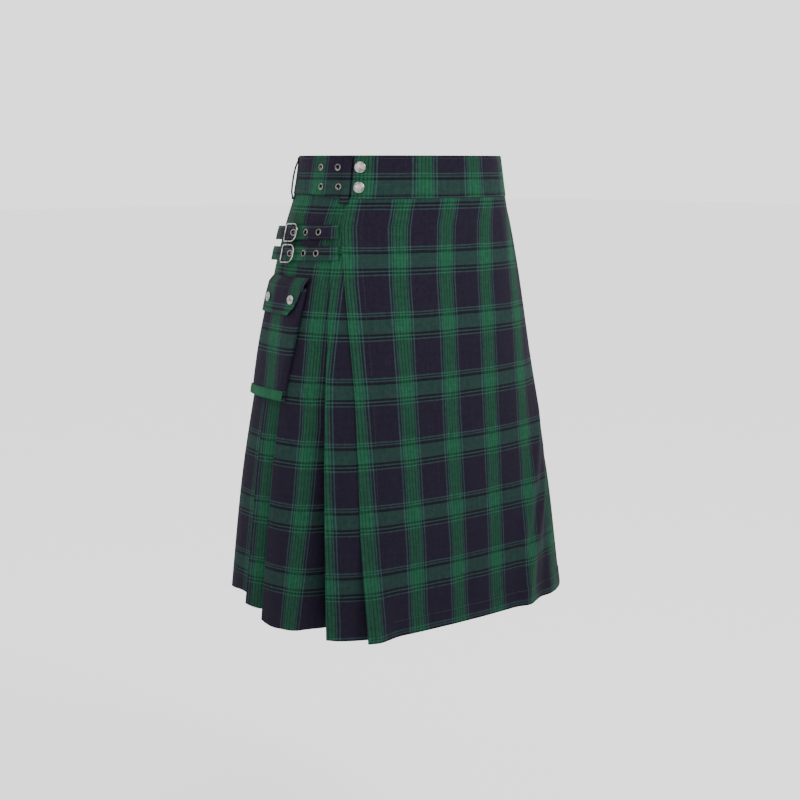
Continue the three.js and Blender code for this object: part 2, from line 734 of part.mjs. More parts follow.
// A round rod along a curve, with flat ends.
function rod(route, radius, count) {
  const section = new THREE.Shape();
  section.absarc(0, 0, radius, 0, 2 * Math.PI);
  return new THREE.ExtrudeGeometry(section, { steps: count, extrudePath: route, curveSegments: 4 });
}

function prong() {
  const rest = buckle.plane + buckle.wire + seam + 0.75;
  const start = new THREE.Vector3(buckle.bar + seam + 0.3, 0, buckle.barOut + 0.3);
  const tip = new THREE.Vector3(buckle.width / 2 - 0.6, 0, rest);
  const middle = start.clone().lerp(tip, 0.5);
  const route = new THREE.CatmullRomCurve3([start, middle, tip]);
  return rod(route, 0.7, 5).translate(0, 0, -buckle.plane);
}

// A belt loop: a strip bowed off the waistband and caught above and below.
function beltLoop({ lap, width, rise, low, foot }) {
  const thick = 1.4;
  const base = 1 + seam + thick / 2;
  const path = [
    [2, base], [7, base + 0.1], [15, base + rise * 0.7], [26, base + rise], [38, base + rise],
    [low - 9, base + rise * 0.75], [low - 3, foot + 0.9], [low, foot + 0.7],
  ];
  const line = path.map(([down, out]) => new THREE.Vector2(down, -out));
  const cells = offsetPath(line, thick / 2);
  const grid = steps(2).map((share) => cells.map((cell) => {
    const place = (point) => bandPoint(-(lap + (share - 0.5) * width), point.x, -point.y);
    return { outer: place(cell.outer), inner: place(cell.inner) };
  }));
  return wall(grid);
}

add('waistband', waistband(), tartan);
add('over_apron', overApron(), tartan);
add('under_apron', underApron(), tartan);
add('pleats_right', pleats(1, 4), tartan);
add('pleats_back', pleats(5, 9), tartan);
add('pleats_left', pleats(10, pleatCount - 1), tartan);
add('pocket_body', pocketBody(), tartan);
add('pocket_band', pocketBand(), tartanLight);
add('pocket_flap', pocketFlap(), tartan);
['front', 'back'].forEach((side, i) => {
  const across = i === 0 ? flapSnap.inset : pocket.width - flapSnap.inset;
  const lap = pocket.lap + across + pocket.slant * flapSnap.down;
  const out = flapOut(across, flapSnap.down) + clothWall + 2 * seam;
  const frame = seat(-lap, pocket.drop + flapSnap.down, out);
  const cap = snapCap(flapSnap.radius, flapSnap.rise).applyMatrix4(frame);
  add(`pocket_snap_${side}`, cap, metal);
});
waistSnap.drops.forEach((drop, i) => {
  const lap = waistSnap.laps[i];
  const out = bandOuter(-lap - bandOverEnd) + seam + 0.15;
  const cap = snapCap(waistSnap.radius, waistSnap.rise).applyMatrix4(seat(-lap, drop, out));
  add(`waist_snap_${i + 1}`, cap, metal);
});
bandEyelets.laps.forEach((lap, i) => bandEyelets.drops.forEach((drop, j) => {
  const ring = eyeletRing(bandWall).applyMatrix4(seat(-lap, drop, 1));
  add(`band_eyelet_${2 * i + j + 1}`, ring, metal);
}));
for (const strap of straps) {
  add(`strap_${strap.name}`, strapBody(strap), tartan);
  strap.eyelets.forEach((lap, i) => {
    const onTop = new THREE.Matrix4().makeTranslation(0, 0, strapWall / 2);
    const frame = strapSeat(lap, strap.drop, strap.buckleLap).multiply(onTop);
    const ring = eyeletRing(strapWall - 0.1).applyMatrix4(frame);
    add(`strap_${strap.name}_eyelet_${i + 1}`, ring, metal);
  });
  const frame = fallenSeat(strap.buckleLap, strap.drop, buckle.plane);
  add(`buckle_${strap.name}_tab`, buckleTab(strap), tartan);
  add(`buckle_${strap.name}_frame`, buckleFrame().applyMatrix4(frame), metal);
  add(`buckle_${strap.name}_prong`, prong().applyMatrix4(frame), metal);
}
beltLoops.forEach((loop, i) => add(`belt_loop_${i + 1}`, beltLoop(loop), tartan));

export default group;
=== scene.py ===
# A tartan utility kilt, worn and hollow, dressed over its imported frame.
# Lengths are worked out in millimetres, as in the part's own plan, and become metres in the meshes.
# Places on the cloth have an arc (the way round from the front middle, plus to the wearer's left),
# a drop (down from the top edge) and an out (off the skirt's outer form). lap = -arc.
import math

import bpy
import numpy as np
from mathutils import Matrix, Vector


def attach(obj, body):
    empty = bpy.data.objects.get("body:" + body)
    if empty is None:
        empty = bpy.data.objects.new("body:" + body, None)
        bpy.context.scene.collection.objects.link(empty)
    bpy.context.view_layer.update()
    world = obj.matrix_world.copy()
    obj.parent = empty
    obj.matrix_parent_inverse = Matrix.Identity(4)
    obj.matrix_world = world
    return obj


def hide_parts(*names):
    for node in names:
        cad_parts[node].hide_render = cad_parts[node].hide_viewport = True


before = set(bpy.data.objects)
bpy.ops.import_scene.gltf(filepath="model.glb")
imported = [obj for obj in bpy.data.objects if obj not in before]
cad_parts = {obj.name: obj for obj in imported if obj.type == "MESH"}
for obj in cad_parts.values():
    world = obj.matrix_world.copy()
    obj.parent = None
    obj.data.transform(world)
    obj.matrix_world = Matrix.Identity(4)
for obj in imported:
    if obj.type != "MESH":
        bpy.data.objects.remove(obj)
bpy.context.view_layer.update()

MM = 0.001
KILT_LENGTH = 610.0
BAND_HEIGHT = 54.0
BACK_BAND_HEIGHT = 50.0
WAIST_TOP = BAND_HEIGHT / 2
CLOTH_WALL = 1.2
PLEAT_WALL = 1.0
BAND_WALL = 2.2
SEAM = 0.35

# drop, half width, front depth, back depth, squareness
RING_LEVELS = np.array([
    (0, 139.6, 112.5, 102.0, 2.42),
    (54, 148.5, 115.0, 109.0, 2.46),
    (90, 159.0, 115.8, 117.0, 2.5),
    (162, 177.0, 117.5, 128.0, 2.57),
    (307, 202.5, 126.5, 143.8, 2.7),
    (432, 222.0, 140.0, 156.0, 2.82),
    (610, 239.0, 160.0, 167.0, 3.0),
])
# drop, free edge, fold A, fold B, fold C, left join
FOLD_LINES = np.array([
    (54, 150, 162, 205, 240, 182),
    (90, 159, 170, 219, 252, 193),
    (160, 160, 179, 238, 270, 213),
    (300, 157, 194, 264, 301, 240),
    (400, 161, 204, 289, 324, 255),
    (500, 166, 212, 309, 345, 268),
    (610, 170, 220, 331, 370, 286),
], dtype=float)
FREE_EDGE, FOLD_A, FOLD_B, FOLD_C, JOIN = 1, 2, 3, 4, 5
PLEAT_COUNT = 14
YOKE_DROP = 170.0
HEM_STEPS = [38, 24, 15, 17, 14, 18, 15, 16, 18, 14, 17, 15, 18, 14]
PANEL_CURVES = {0: 1, 1: 2.4, 2: 1.5}
FLAT_STEP = 2 * (PLEAT_WALL + SEAM)
UNDER_YOKE = 27.0
UNDER_HEM = 18.0
# Where round the skirt, from 0 in front to 1 behind, the band's low edge and the hem rise.
BAND_RISE = (0.36, 0.49)
HEM_STEP = (0.305, 0.345)
HEM_STEP_HEIGHT = 2.5
HEM_RISE = (0.435, 0.6)
HEM_RISE_HEIGHT = 24.0
# How far the hem lifts with the depth of a hidden layer, down to a greatest depth.
HEM_LIFT, HEM_LIFT_DEEPEST = 0.35, 15.0

# The sett of the tartan, in millimetres.
WARP_REPEAT = 70.0
WEFT_REPEAT = 82.35
WEFT_START = 32.0


def smoothstep(x, low, high):
    t = np.clip((np.asarray(x, float) - low) / (high - low), 0, 1)
    return t * t * (3 - 2 * t)


def lerp(a, b, t):
    return a + (b - a) * t


def run_along(path):
    """How far along a path each of its points lies."""
    return np.concatenate([[0], np.cumsum(np.linalg.norm(np.diff(path, axis=0), axis=1))])


def read_table(table, column, drop):
    """Smooth reading of a table's column at drops, with slopes taken from the rows beside it."""
    drops, values = table[:, 0], table[:, column]
    drop = np.clip(np.asarray(drop, float), drops[0], drops[-1])
    row = np.clip(np.searchsorted(drops, drop, side="left") - 1, 0, len(drops) - 2)
    last = len(drops) - 1

    def slope(a, b):
        return (values[b] - values[a]) / (drops[b] - drops[a])

    span = drops[row + 1] - drops[row]
    start = slope(np.maximum(row - 1, 0), row + 1) * span
    end = slope(row, np.minimum(row + 2, last)) * span
    t = (drop - drops[row]) / span
    blend = t * t * (3 - 2 * t)
    a, b = values[row], values[row + 1]
    return a + (b - a) * blend + start * t * (1 - t) ** 2 - end * t * t * (1 - t)


# The skirt's outer form, as rings at whole drops.
RING_STEPS = 360
LEVELS = np.arange(-10, 641)


def make_rings():
    angle = 2 * np.pi * (np.arange(RING_STEPS + 1) / RING_STEPS - 0.5)
    across, ahead = np.sin(angle), np.cos(angle)
    points, arcs, tangents = [], [], []
    for drop in LEVELS:
        half, front, back, square = [read_table(RING_LEVELS, c, drop) for c in (1, 2, 3, 4)]
        power = 2 / square
        x = half * np.sign(across) * np.abs(across) ** power
        y = -np.where(ahead > 0, front, back) * np.sign(ahead) * np.abs(ahead) ** power
        ring = np.stack([x, y], 1)
        body = ring[:-1]
        tangent = np.roll(body, -3, 0) - np.roll(body, 3, 0)
        tangent /= np.linalg.norm(tangent, axis=1)[:, None]
        points.append(ring)
        arcs.append(run_along(ring))
        tangents.append(np.concatenate([tangent, tangent[:1]]))
    return np.array(points), np.array(arcs), np.array(tangents)


RING_POINTS, RING_ARCS, RING_TANGENTS = make_rings()


def ring_length(drop):
    return np.interp(drop, LEVELS, RING_ARCS[:, -1])


def skirt(arc, drop, out):
    """Points of the skirt, in millimetres, from arrays of arcs, drops and outs."""
    arc, drop, out = np.broadcast_arrays(*[np.asarray(v, float) for v in (arc, drop, out)])
    shape = arc.shape
    arc, drop, out = arc.ravel(), drop.ravel(), out.ravel()
    place = np.clip(drop, LEVELS[0], LEVELS[-1] - 1) - LEVELS[0]
    level = np.floor(place).astype(int)
    part = place - level
    result = np.zeros((arc.size, 3))
    for number in np.unique(level):
        chosen = np.where(level == number)[0]
        for side, weight in ((0, 1 - part[chosen]), (1, part[chosen])):
            k = number + side
            length = RING_ARCS[k, -1]
            along = (arc[chosen] + RING_ARCS[k, RING_STEPS // 2]) % length
            at = [np.interp(along, RING_ARCS[k], RING_POINTS[k, :, i]) for i in (0, 1)]
            turn = [np.interp(along, RING_ARCS[k], RING_TANGENTS[k, :, i]) for i in (0, 1)]
            size = np.hypot(*turn)
            result[chosen, 0] += weight * (at[0] + turn[1] / size * out[chosen])
            result[chosen, 1] += weight * (at[1] - turn[0] / size * out[chosen])
    result[:, 2] = WAIST_TOP - drop
    return result.reshape(shape + (3,))


def round_share(arc, drop):
    """How far round an arc lies at a drop, from 0 in front to 1 behind."""
    turn = arc / ring_length(drop)
    return 2 * np.abs(turn - np.round(turn))


def low_edge(around):
    return lerp(BAND_HEIGHT, BACK_BAND_HEIGHT, smoothstep(around, *BAND_RISE))


def hem_edge(around):
    return (KILT_LENGTH - HEM_STEP_HEIGHT * smoothstep(around, *HEM_STEP)
            - HEM_RISE_HEIGHT * smoothstep(around, *HEM_RISE))


def band_low(arc):
    return low_edge(round_share(arc, BAND_HEIGHT))


def hem_drop(arc):
    return hem_edge(round_share(arc, KILT_LENGTH))


def drop_at(arc, share):
    around = round_share(arc, lerp(BAND_HEIGHT, KILT_LENGTH, share))
    return lerp(low_edge(around) + SEAM, hem_edge(around), share)


# ---------------------------------------------------------------- meshes

CLOTH_UV = "cloth"


def finish_piece(obj, material):
    obj.data.materials.append(material)
    bpy.context.scene.collection.objects.link(obj)
    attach(obj, "root")
    return obj


def mesh_object(name, points, faces, uvs=None, sharp=40):
    mesh = bpy.data.meshes.new(name)
    mesh.from_pydata([tuple(p) for p in np.asarray(points) * MM], [], [tuple(f) for f in faces])
    if uvs is not None:
        layer = mesh.uv_layers.new(name=CLOTH_UV)
        index = np.empty(len(mesh.loops), dtype=np.int32)
        mesh.loops.foreach_get("vertex_index", index)
        layer.data.foreach_set("uv", np.asarray(uvs, np.float32)[index].ravel())
    mesh.polygons.foreach_set("use_smooth", [True] * len(mesh.polygons))
    mesh.set_sharp_from_angle(angle=math.radians(sharp))
    mesh.update()
    return bpy.data.objects.new(name, mesh)


def grid_faces(rows, columns, start=0, flip=False):
    r, c = np.meshgrid(np.arange(rows - 1), np.arange(columns - 1), indexing="ij")
    a = (start + r * columns + c).ravel()
    quads = np.stack([a, a + columns, a + columns + 1, a + 1], 1)
    return quads[:, ::-1] if flip else quads


def wall(name, outer, inner, uv, sharp):
    """A closed cloth wall from grids of outer and inner points, with a cloth map for its weave."""
    rows, columns = outer.shape[:2]
    count = rows * columns
    points = np.concatenate([outer.reshape(-1, 3), inner.reshape(-1, 3)])
    uvs = np.concatenate([uv.reshape(-1, 2)] * 2)
    faces = [grid_faces(rows, columns), grid_faces(rows, columns, count, True)]
    top = np.arange(columns)
    bottom = top + (rows - 1) * columns
    left = np.arange(rows) * columns
    right = left + columns - 1
    for line, flip in ((top, False), (bottom, True), (left, True), (right, False)):
        a, b = line[:-1], line[1:]
        quads = np.stack([a, b, b + count, a + count], 1)
        faces.append(quads[:, ::-1] if flip else quads)
    faces = np.concatenate(faces)
    across = outer[rows // 2, 1:] - outer[rows // 2, :-1]
    down = outer[1:, columns // 2] - outer[:-1, columns // 2]
    face = np.cross(down[rows // 2 - 1], across[columns // 2 - 1])
    if np.dot(face, (outer - inner)[rows // 2, columns // 2]) < 0:
        faces = faces[:, ::-1]
    return finish_piece(mesh_object(name, points, faces, uvs, sharp), tartan)


def cloth(name, node, outer, inner, uv, held, rests_on, middle=None, sharp=40):
    """A cloth piece: a closed wall that replaces a node of the frame."""
    piece = wall(name, np.asarray(outer), np.asarray(inner), np.asarray(uv), sharp)
    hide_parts(node)
    return piece


def cloth_map(u, v):
    """The cloth's own map, from stripe places along the weft and along the warp."""
    return np.stack(np.broadcast_arrays(u, v), 2)


def offset_path(path, half):
    """Offsets (along, deep) pairs of a path to both sides, with mitred corners."""
    step = np.diff(path, axis=0)
    step /= np.linalg.norm(step, axis=1)[:, None]
    normal = np.stack([step[:, 1], -step[:, 0]], 1)
    before = np.concatenate([normal[:1], normal])
    after = np.concatenate([normal, normal[-1:]])
    mitre = before + after
    mitre /= np.linalg.norm(mitre, axis=1)[:, None]
    reach = half / np.maximum((mitre * before).sum(1), 0.35)
    return path + mitre * reach[:, None], path - mitre * reach[:, None]


def refine(path, longest):
    """Adds points to a path so that no stretch is longer than a length."""
    path = np.asarray(path, float)
    result = [path[:1]]
    for a, b in zip(path[:-1], path[1:]):
        parts = max(1, math.ceil(np.linalg.norm(b[:2] - a[:2]) / longest))
        result.append(a + (b - a) * (np.arange(1, parts + 1) / parts)[:, None])
    return np.concatenate(result)


def rounded(path, turns=2):
    """Cuts the corners of a path, so that folds turn softly."""
    for _ in range(turns):
        a, b = path[:-1], path[1:]
        inner = np.stack([a * 0.75 + b * 0.25, a * 0.25 + b * 0.75], 1).reshape(-1, path.shape[1])
        path = np.concatenate([path[:1], inner[1:-1], path[-1:]])
    return path


def seat(arc, drop, out):
    """The frame of a small piece on the skirt: x to larger arcs, y up along the cloth, z out."""
    at = skirt(arc, drop, out)
    x = skirt(arc + 4, drop, out) - skirt(arc - 4, drop, out)
    up = skirt(arc, drop - 4, out) - skirt(arc, drop + 4, out)
    x /= np.linalg.norm(x)
    z = np.cross(x, up)
    z /= np.linalg.norm(z)
    y = np.cross(z, x)
    matrix = np.eye(4)
    matrix[:3, 0], matrix[:3, 1], matrix[:3, 2], matrix[:3, 3] = x, y, z, at
    return matrix


def placed(points, matrix):
    return np.asarray(points) @ matrix[:3, :3].T + matrix[:3, 3]


def hoop_faces(rings, sides, closed=False):
    """Faces that join each ring of points to the next."""
    faces = []
    for i in range(rings if closed else rings - 1):
        here, there = i * sides, (i + 1) % rings * sides
        for j in range(sides):
            k = (j + 1) % sides
            faces.append((here + j, here + k, there + k, there + j))
    return faces


def lathe(profile, segments, matrix):
    """A turned body about a seat's out axis, from (radius, out) pairs."""
    profile = np.asarray(profile, float)
    angle = 2 * np.pi * np.arange(segments) / segments
    rings = np.stack([profile[:, :1] * np.cos(angle), profile[:, :1] * np.sin(angle),
                      np.repeat(profile[:, 1:], segments, 1)], 2)
    return placed(rings.reshape(-1, 3), matrix), hoop_faces(len(profile), segments)


def tube(path, radius, sides, closed=False):
    """A round bar along a path."""
    path = np.asarray(path, float)
    count = len(path)
    tangent = np.roll(path, -1, 0) - np.roll(path, 1, 0) if closed else np.gradient(path, axis=0)
    tangent /= np.linalg.norm(tangent, axis=1)[:, None]
    radii = np.broadcast_to(np.asarray(radius, float), (count,))
    normal = np.array([0, 0, 1.0]) if abs(tangent[0][2]) < 0.9 else np.array([1.0, 0, 0])
    angle = 2 * np.pi * np.arange(sides)[:, None] / sides
    points = []
    for place, along, size in zip(path, tangent, radii):
        normal = normal - along * np.dot(normal, along)
        normal /= np.linalg.norm(normal)
        points.append(place + size * (np.cos(angle) * normal + np.sin(angle) * np.cross(along, normal)))
    faces = hoop_faces(count, sides, closed)
    if not closed:
        faces.append(tuple(range(sides))[::-1])
        faces.append(tuple(range((count - 1) * sides, count * sides)))
    return np.concatenate(points), faces


def merge(parts):
    points, faces, start = [], [], 0
    for part_points, part_faces in parts:
        points.append(part_points)
        faces += [tuple(start + i for i in face) for face in part_faces]
        start += len(part_points)
    return np.concatenate(points), faces


# ---------------------------------------------------------------- materials

NAVY = (0.0084, 0.0057, 0.0134, 1)
NAVY_LINE = (0.0012, 0.0024, 0.0034, 1)
WARP_GREEN = (0.0065, 0.070, 0.026, 1)
WARP_PIN = (0.0035, 0.026, 0.016, 1)
WEFT_GREEN = (0.0100, 0.046, 0.029, 1)
LIGHT_LINE = (0.020, 0.050, 0.043, 1)
WARP_GAP = (0.0030, 0.0120, 0.0095, 1)
WEFT_GAP = (0.0022, 0.0085, 0.0078, 1)
NICKEL = (0.34, 0.33, 0.32, 1)
AGED_NICKEL = (0.17, 0.155, 0.145, 1)
# How much of the plate's colour is left in its painted dark reflections.
DARK_REFLECTION_SHARE = 0.42
TWILL_PITCH = 1.3

# Where each stripe starts in a repeat, in millimetres.
WARP_STRIPES = [
    (0.0, LIGHT_LINE), (1.7, WARP_GAP), (4.0, LIGHT_LINE), (5.7, WARP_PIN), (7.0, WARP_GREEN),
    (10.6, WARP_PIN), (11.7, WARP_GREEN), (15.0, WARP_PIN), (16.1, WARP_GREEN), (19.6, WARP_PIN),
    (20.7, WARP_GREEN), (24.0, WARP_PIN), (25.2, LIGHT_LINE), (26.9, WARP_GAP),
    (29.3, LIGHT_LINE), (31.0, NAVY),
]
WEFT_STRIPES = [
    (0.0, LIGHT_LINE), (1.7, WEFT_GAP), (3.4, LIGHT_LINE), (5.1, WEFT_GAP), (6.2, NAVY_LINE),
    (8.8, WEFT_GREEN), (27.0, NAVY_LINE), (29.2, WEFT_GAP), (29.9, LIGHT_LINE), (31.6, NAVY_LINE),
    (33.8, WEFT_GAP), (34.5, LIGHT_LINE), (36.2, NAVY),
]


class Nodes:
    """A new material, and short ways to make and join its shader nodes."""

    def __init__(self, name):
        self.material = bpy.data.materials.new(name)
        self.material.use_nodes = True
        self.tree = self.material.node_tree
        self.tree.nodes.clear()

    def new(self, kind, **settings):
        node = self.tree.nodes.new(kind)
        for key, value in settings.items():
            setattr(node, key, value)
        return node

    def put(self, socket, value):
        if hasattr(value, "is_output"):
            self.tree.links.new(value, socket)
        elif value is not None:
            socket.default_value = value

    def math(self, operation, a, b=None, c=None):
        node = self.new("ShaderNodeMath", operation=operation)
        for socket, value in zip(node.inputs, (a, b, c)):
            self.put(socket, value)
        return node.outputs[0]

    def split(self, vector):
        node = self.new("ShaderNodeSeparateXYZ")
        self.put(node.inputs[0], vector)
        return node.outputs

    def mix(self, factor, a, b, blend="MIX"):
        node = self.new("ShaderNodeMix", data_type="RGBA", blend_type=blend)
        for number, value in ((0, factor), (6, a), (7, b)):
            self.put(node.inputs[number], value)
        return node.outputs[2]

    def ramp(self, factor, stops, interpolation="LINEAR"):
        node = self.new("ShaderNodeValToRGB")
        band = node.color_ramp
        band.interpolation = interpolation
        while len(band.elements) < len(stops):
            band.elements.new(1)
        for element, (place, color) in zip(band.elements, stops):
            element.position = place
            element.color = color
        self.put(node.inputs[0], factor)
        return node.outputs[0]

    def shade(self, cloth, factor, low, high):
        """Multiplies a colour by a ramp between two (place, tint) stops."""
        stops = [(place, tuple(tint) + (1,)) for place, tint in (low, high)]
        return self.mix(1.0, cloth, self.ramp(factor, stops), "MULTIPLY")

    def noise(self, vector, scale, detail=2, rough=0.5):
        node = self.new("ShaderNodeTexNoise")
        for name, value in (("Vector", vector), ("Scale", scale), ("Detail", detail), ("Roughness", rough)):
            self.put(node.inputs[name], value)
        return node.outputs["Fac"]

    def yarn_noise(self, u, v, across, along):
        """Noise that runs along a yarn: its scales along both ways of the cloth's map."""
        node = self.new("ShaderNodeCombineXYZ")
        self.put(node.inputs[0], self.math("MULTIPLY", u, across))
        self.put(node.inputs[1], self.math("MULTIPLY", v, along))
        return self.noise(node.outputs[0], 1, 1)

    def surface(self, color, rough, settings, height=None, strength=0.0, depth=0.0):
        """Ends the material with a Principled surface and its relief."""
        bsdf = self.new("ShaderNodeBsdfPrincipled")
        self.put(bsdf.inputs["Base Color"], color)
        self.put(bsdf.inputs["Roughness"], rough)
        for name, value in settings.items():
            bsdf.inputs[name].default_value = value
        if height is not None:
            bump = self.new("ShaderNodeBump")
            bump.inputs["Strength"].default_value = strength
            bump.inputs["Distance"].default_value = depth
            self.put(bump.inputs["Height"], height)
            self.put(bsdf.inputs["Normal"], bump.outputs[0])
        self.put(self.new("ShaderNodeOutputMaterial").inputs[0], bsdf.outputs[0])
        return self.material


def stripes(nodes, place, repeat, table):
    share = nodes.math("FRACT", nodes.math("DIVIDE", place, repeat))
    return nodes.ramp(share, [(start / repeat, color) for start, color in table], "CONSTANT")


def tartan_material():
    """Twill tartan: coloured warp and weft yarns cross on the cloth's own map, in millimetres."""
    n = Nodes("tartan_twill")
    uv = n.new("ShaderNodeUVMap", uv_map=CLOTH_UV).outputs[0]
    u, v = n.split(uv)[0:2]
    # The yarns wander a little, so no line is dead straight.
    shift = n.math("MULTIPLY", n.math("SUBTRACT", n.noise(uv, 0.02, 2), 0.5), 1.6)
    warp = stripes(n, n.math("ADD", u, shift), WARP_REPEAT, WARP_STRIPES)
    weft = stripes(n, n.math("ADD", v, shift), WEFT_REPEAT, WEFT_STRIPES)
    # Two-up two-down twill: which yarn is on top steps sideways from row to row.
    twill = n.math("SINE", n.math("MULTIPLY", n.math("ADD", u, v), 2 * math.pi / TWILL_PITCH))
    color = n.mix(n.math("MULTIPLY_ADD", twill, 0.10, 0.47), warp, weft)
    # Single yarns are dyed a little lighter or darker.
    warp_yarn = n.yarn_noise(u, v, 1.4, 0.02)
    weft_yarn = n.yarn_noise(u, v, 0.02, 1.4)
    tone = n.math("ADD", n.math("MULTIPLY", warp_yarn, 0.55), n.math("MULTIPLY", weft_yarn, 0.35))
    color = n.shade(color, tone, (0.2, (0.62,) * 3), (0.7, (1.36,) * 3))
    # The cloth has taken the dye unevenly, in soft clouds a few millimetres across.
    color = n.shade(color, n.noise(uv, 0.16, 3, 0.6), (0.3, (0.80, 0.84, 0.84)), (0.7, (1.22, 1.16, 1.18)))
    # Painted shade: the cloth is darker towards the hem, read from its height on the object.
    height = n.math("ADD", n.split(n.new("ShaderNodeTexCoord").outputs["Object"])[2], 0.6)
    color = n.shade(color, height, (0.05, (0.70, 0.72, 0.76)), (0.5, (0.97, 0.97, 0.98)))
    # A faint bloom of washed and brushed fibre.
    bloom = n.noise(uv, 0.035, 4, 0.6)
    color = n.mix(n.math("MULTIPLY", bloom, 0.03), color, (0.07, 0.075, 0.085, 1))
    soft = {"Specular IOR Level": 0.05, "Sheen Weight": 0.015, "Sheen Roughness": 0.45,
            "Sheen Tint": (0.62, 0.72, 0.72, 1)}
    relief = n.math("ADD", n.math("MULTIPLY", twill, 0.5), n.math("MULTIPLY", warp_yarn, 0.9))
    return n.surface(color, n.math("MULTIPLY_ADD", bloom, 0.16, 0.72), soft, relief, 0.35, 0.00025)


def thread_material():
    n = Nodes("stitching_thread")
    twist = n.noise(n.new("ShaderNodeTexCoord").outputs["Object"], 900, 2)
    color = n.ramp(twist, [(0.3, (0.004, 0.010, 0.009, 1)), (0.7, (0.010, 0.028, 0.021, 1))])
    return n.surface(color, 0.6, {}, twist, 0.4, 0.0002)


def nickel_material(name, tint, rough_low, rough_high):
    """Plated metal with cloudy painted dark reflections and fine rubbing."""
    n = Nodes(name)
    where = n.new("ShaderNodeTexCoord").outputs["Object"]
    cloud = n.noise(where, 170, 2, 0.5)
    fine = n.noise(where, 2400, 2, 0.7)
    # The cloudy dark patches of the plate are painted dark reflections.
    dark_reflection = tuple(part * DARK_REFLECTION_SHARE for part in tint[:3]) + (1,)
    rough = n.math("MULTIPLY_ADD", fine, rough_high - rough_low, rough_low)
    color = n.ramp(cloud, [(0.38, dark_reflection), (0.58, tint)])
    return n.surface(color, rough, {"Metallic": 1.0}, fine, 0.08, 0.0001)


tartan = tartan_material()
thread = thread_material()
nickel = nickel_material("nickel_plate", NICKEL, 0.14, 0.34)
aged_nickel = nickel_material("aged_nickel", AGED_NICKEL, 0.2, 0.4)

# ---------------------------------------------------------------- waistband

BAND_OVER_END = -142.0
BAND_FULL = -40.0
BAND_TURN = 60
BAND_UNDER = 18
MID_RING = float(ring_length(BAND_HEIGHT / 2))


def band_point(arc, drop, out):
    return skirt(np.asarray(arc) * ring_length(drop) / MID_RING, drop, out)


def band_outer(along):
    under = along > MID_RING
    arc = BAND_OVER_END + np.where(under, along - MID_RING, along)
    full = smoothstep(arc, BAND_OVER_END, BAND_FULL)
    step = BAND_WALL + SEAM
    near = np.where(along < MID_RING / 2, 1 + step * (1 - full), 1.0)
    return np.where(under, 1 - step * full, near)


# Phase of the warp stripes along the strip: (along, stripe place) pairs.
BAND_SETT = [(0.0, 3.0), (30.5, 31.0), (76.0, 70.0), (113.0, 101.0), (158.0, 140.0), (240.0, 212.0),
             (MID_RING - 64, 707.5), (MID_RING, 769.5), (MID_RING + 260, 1020.0)]
BAND_WEFT = 22.0
# The rows down the band, and how far its edges are rounded over at some of them.
BAND_ROWS = np.array([0, 0.012, 0.03, 0.06, 0.15, 0.3, 0.45, 0.6, 0.72, 0.8, 0.86, 0.9, 0.925, 0.95,
                      0.975, 0.99, 1])
BAND_ROUNDING = [(0, 0.55), (0.012, 0.22), (0.03, 0.06), (0.06, 0), (0.97, 0), (0.99, 0.2), (1, 0.55)]
# How far above the band's low edge its lower seam lies, and how the slack upper edge waves.
BAND_SEAM = 4.2


def band_slack(arc):
    return 0.35 * np.sin(arc * 0.034 + 1.0)


def band_relief(arc, drop):
    """Soft puckers along the seam that closes the band's lower edge, and a slack upper edge."""
    low = band_low(arc)
    near = np.exp(-((low - 7 - drop) / 5.0) ** 2)
    pucker = 0.16 * np.sin(arc * 0.43 + 1.3 * np.sin(arc * 0.051)) * near
    stitched = -0.28 * np.exp(-((low - BAND_SEAM - drop) / 1.0) ** 2)
    return pucker + band_slack(arc) * smoothstep(drop, 30, 0) + stitched


def waistband():
    columns = (BAND_TURN + BAND_UNDER) * 8
    along = np.linspace(0, (BAND_TURN + BAND_UNDER) * MID_RING / BAND_TURN, columns + 1)
    arc = BAND_OVER_END + along - np.where(along > MID_RING, MID_RING, 0)
    out = band_outer(along)
    low = band_low(arc * ring_length(BAND_HEIGHT) / MID_RING)
    drop = BAND_ROWS[:, None] * low[None, :]
    round_over = np.interp(BAND_ROWS, *np.array(BAND_ROUNDING).T)[:, None]
    ends = np.minimum(along, along[-1] - along)
    round_over = np.maximum(round_over, 0.5 * np.exp(-(ends / 0.8)))
    arcs = np.broadcast_to(arc, drop.shape)
    lift = band_relief(arcs, drop) * np.where(along > MID_RING, 0.2, 1)
    outer = band_point(arcs, drop, out + lift - round_over)
    inner = band_point(arcs, drop, out - BAND_WALL + round_over + 0.2 * lift)
    uv = cloth_map(np.interp(along, *np.array(BAND_SETT).T), drop - BAND_WEFT)
    return cloth("kilt_waistband", "waistband", outer, inner, uv, "hung", ["over_apron"])


# ---------------------------------------------------------------- aprons

FLUTES = [
    dict(height=4, width=15, start_arc=178, start_drop=350, end_arc=104, end_drop=520),
    dict(height=3.5, width=13, start_arc=186, start_drop=425, end_arc=96, end_drop=600),
    dict(height=-4, width=14, start_arc=205, start_drop=400, end_arc=140, end_drop=610),
]
CORNER_FLARE = 16.0
LAP_EDGE, LAP_FULL = -160.0, -60.0
HEM_STRIP = 26.0
HEM_LINE = 22.0
DOUBLED_WALL = 2.0
# How far in from the free edge, and up from the hem, the seams lie.
EDGE_SEAMS = (5.0, 24.0)
HEM_SEAM = 20.0


def drape(arc, drop):
    corner = smoothstep(drop, 430, KILT_LENGTH) * smoothstep(-arc, 105, 160)
    relief = CORNER_FLARE * corner * corner
    for flute in FLUTES:
        t = np.clip((drop - flute["start_drop"]) / (flute["end_drop"] - flute["start_drop"]), 0, 1)
        fade = smoothstep(drop, flute["start_drop"] - 90, flute["start_drop"] + 60)
        middle = lerp(flute["start_arc"], flute["end_arc"], t)
        relief = relief + flute["height"] * fade * np.exp(-(((arc - middle) / flute["width"]) ** 2))
    return relief


def under_out(arc):
    return -(CLOTH_WALL + SEAM) * smoothstep(arc, LAP_EDGE, LAP_FULL)


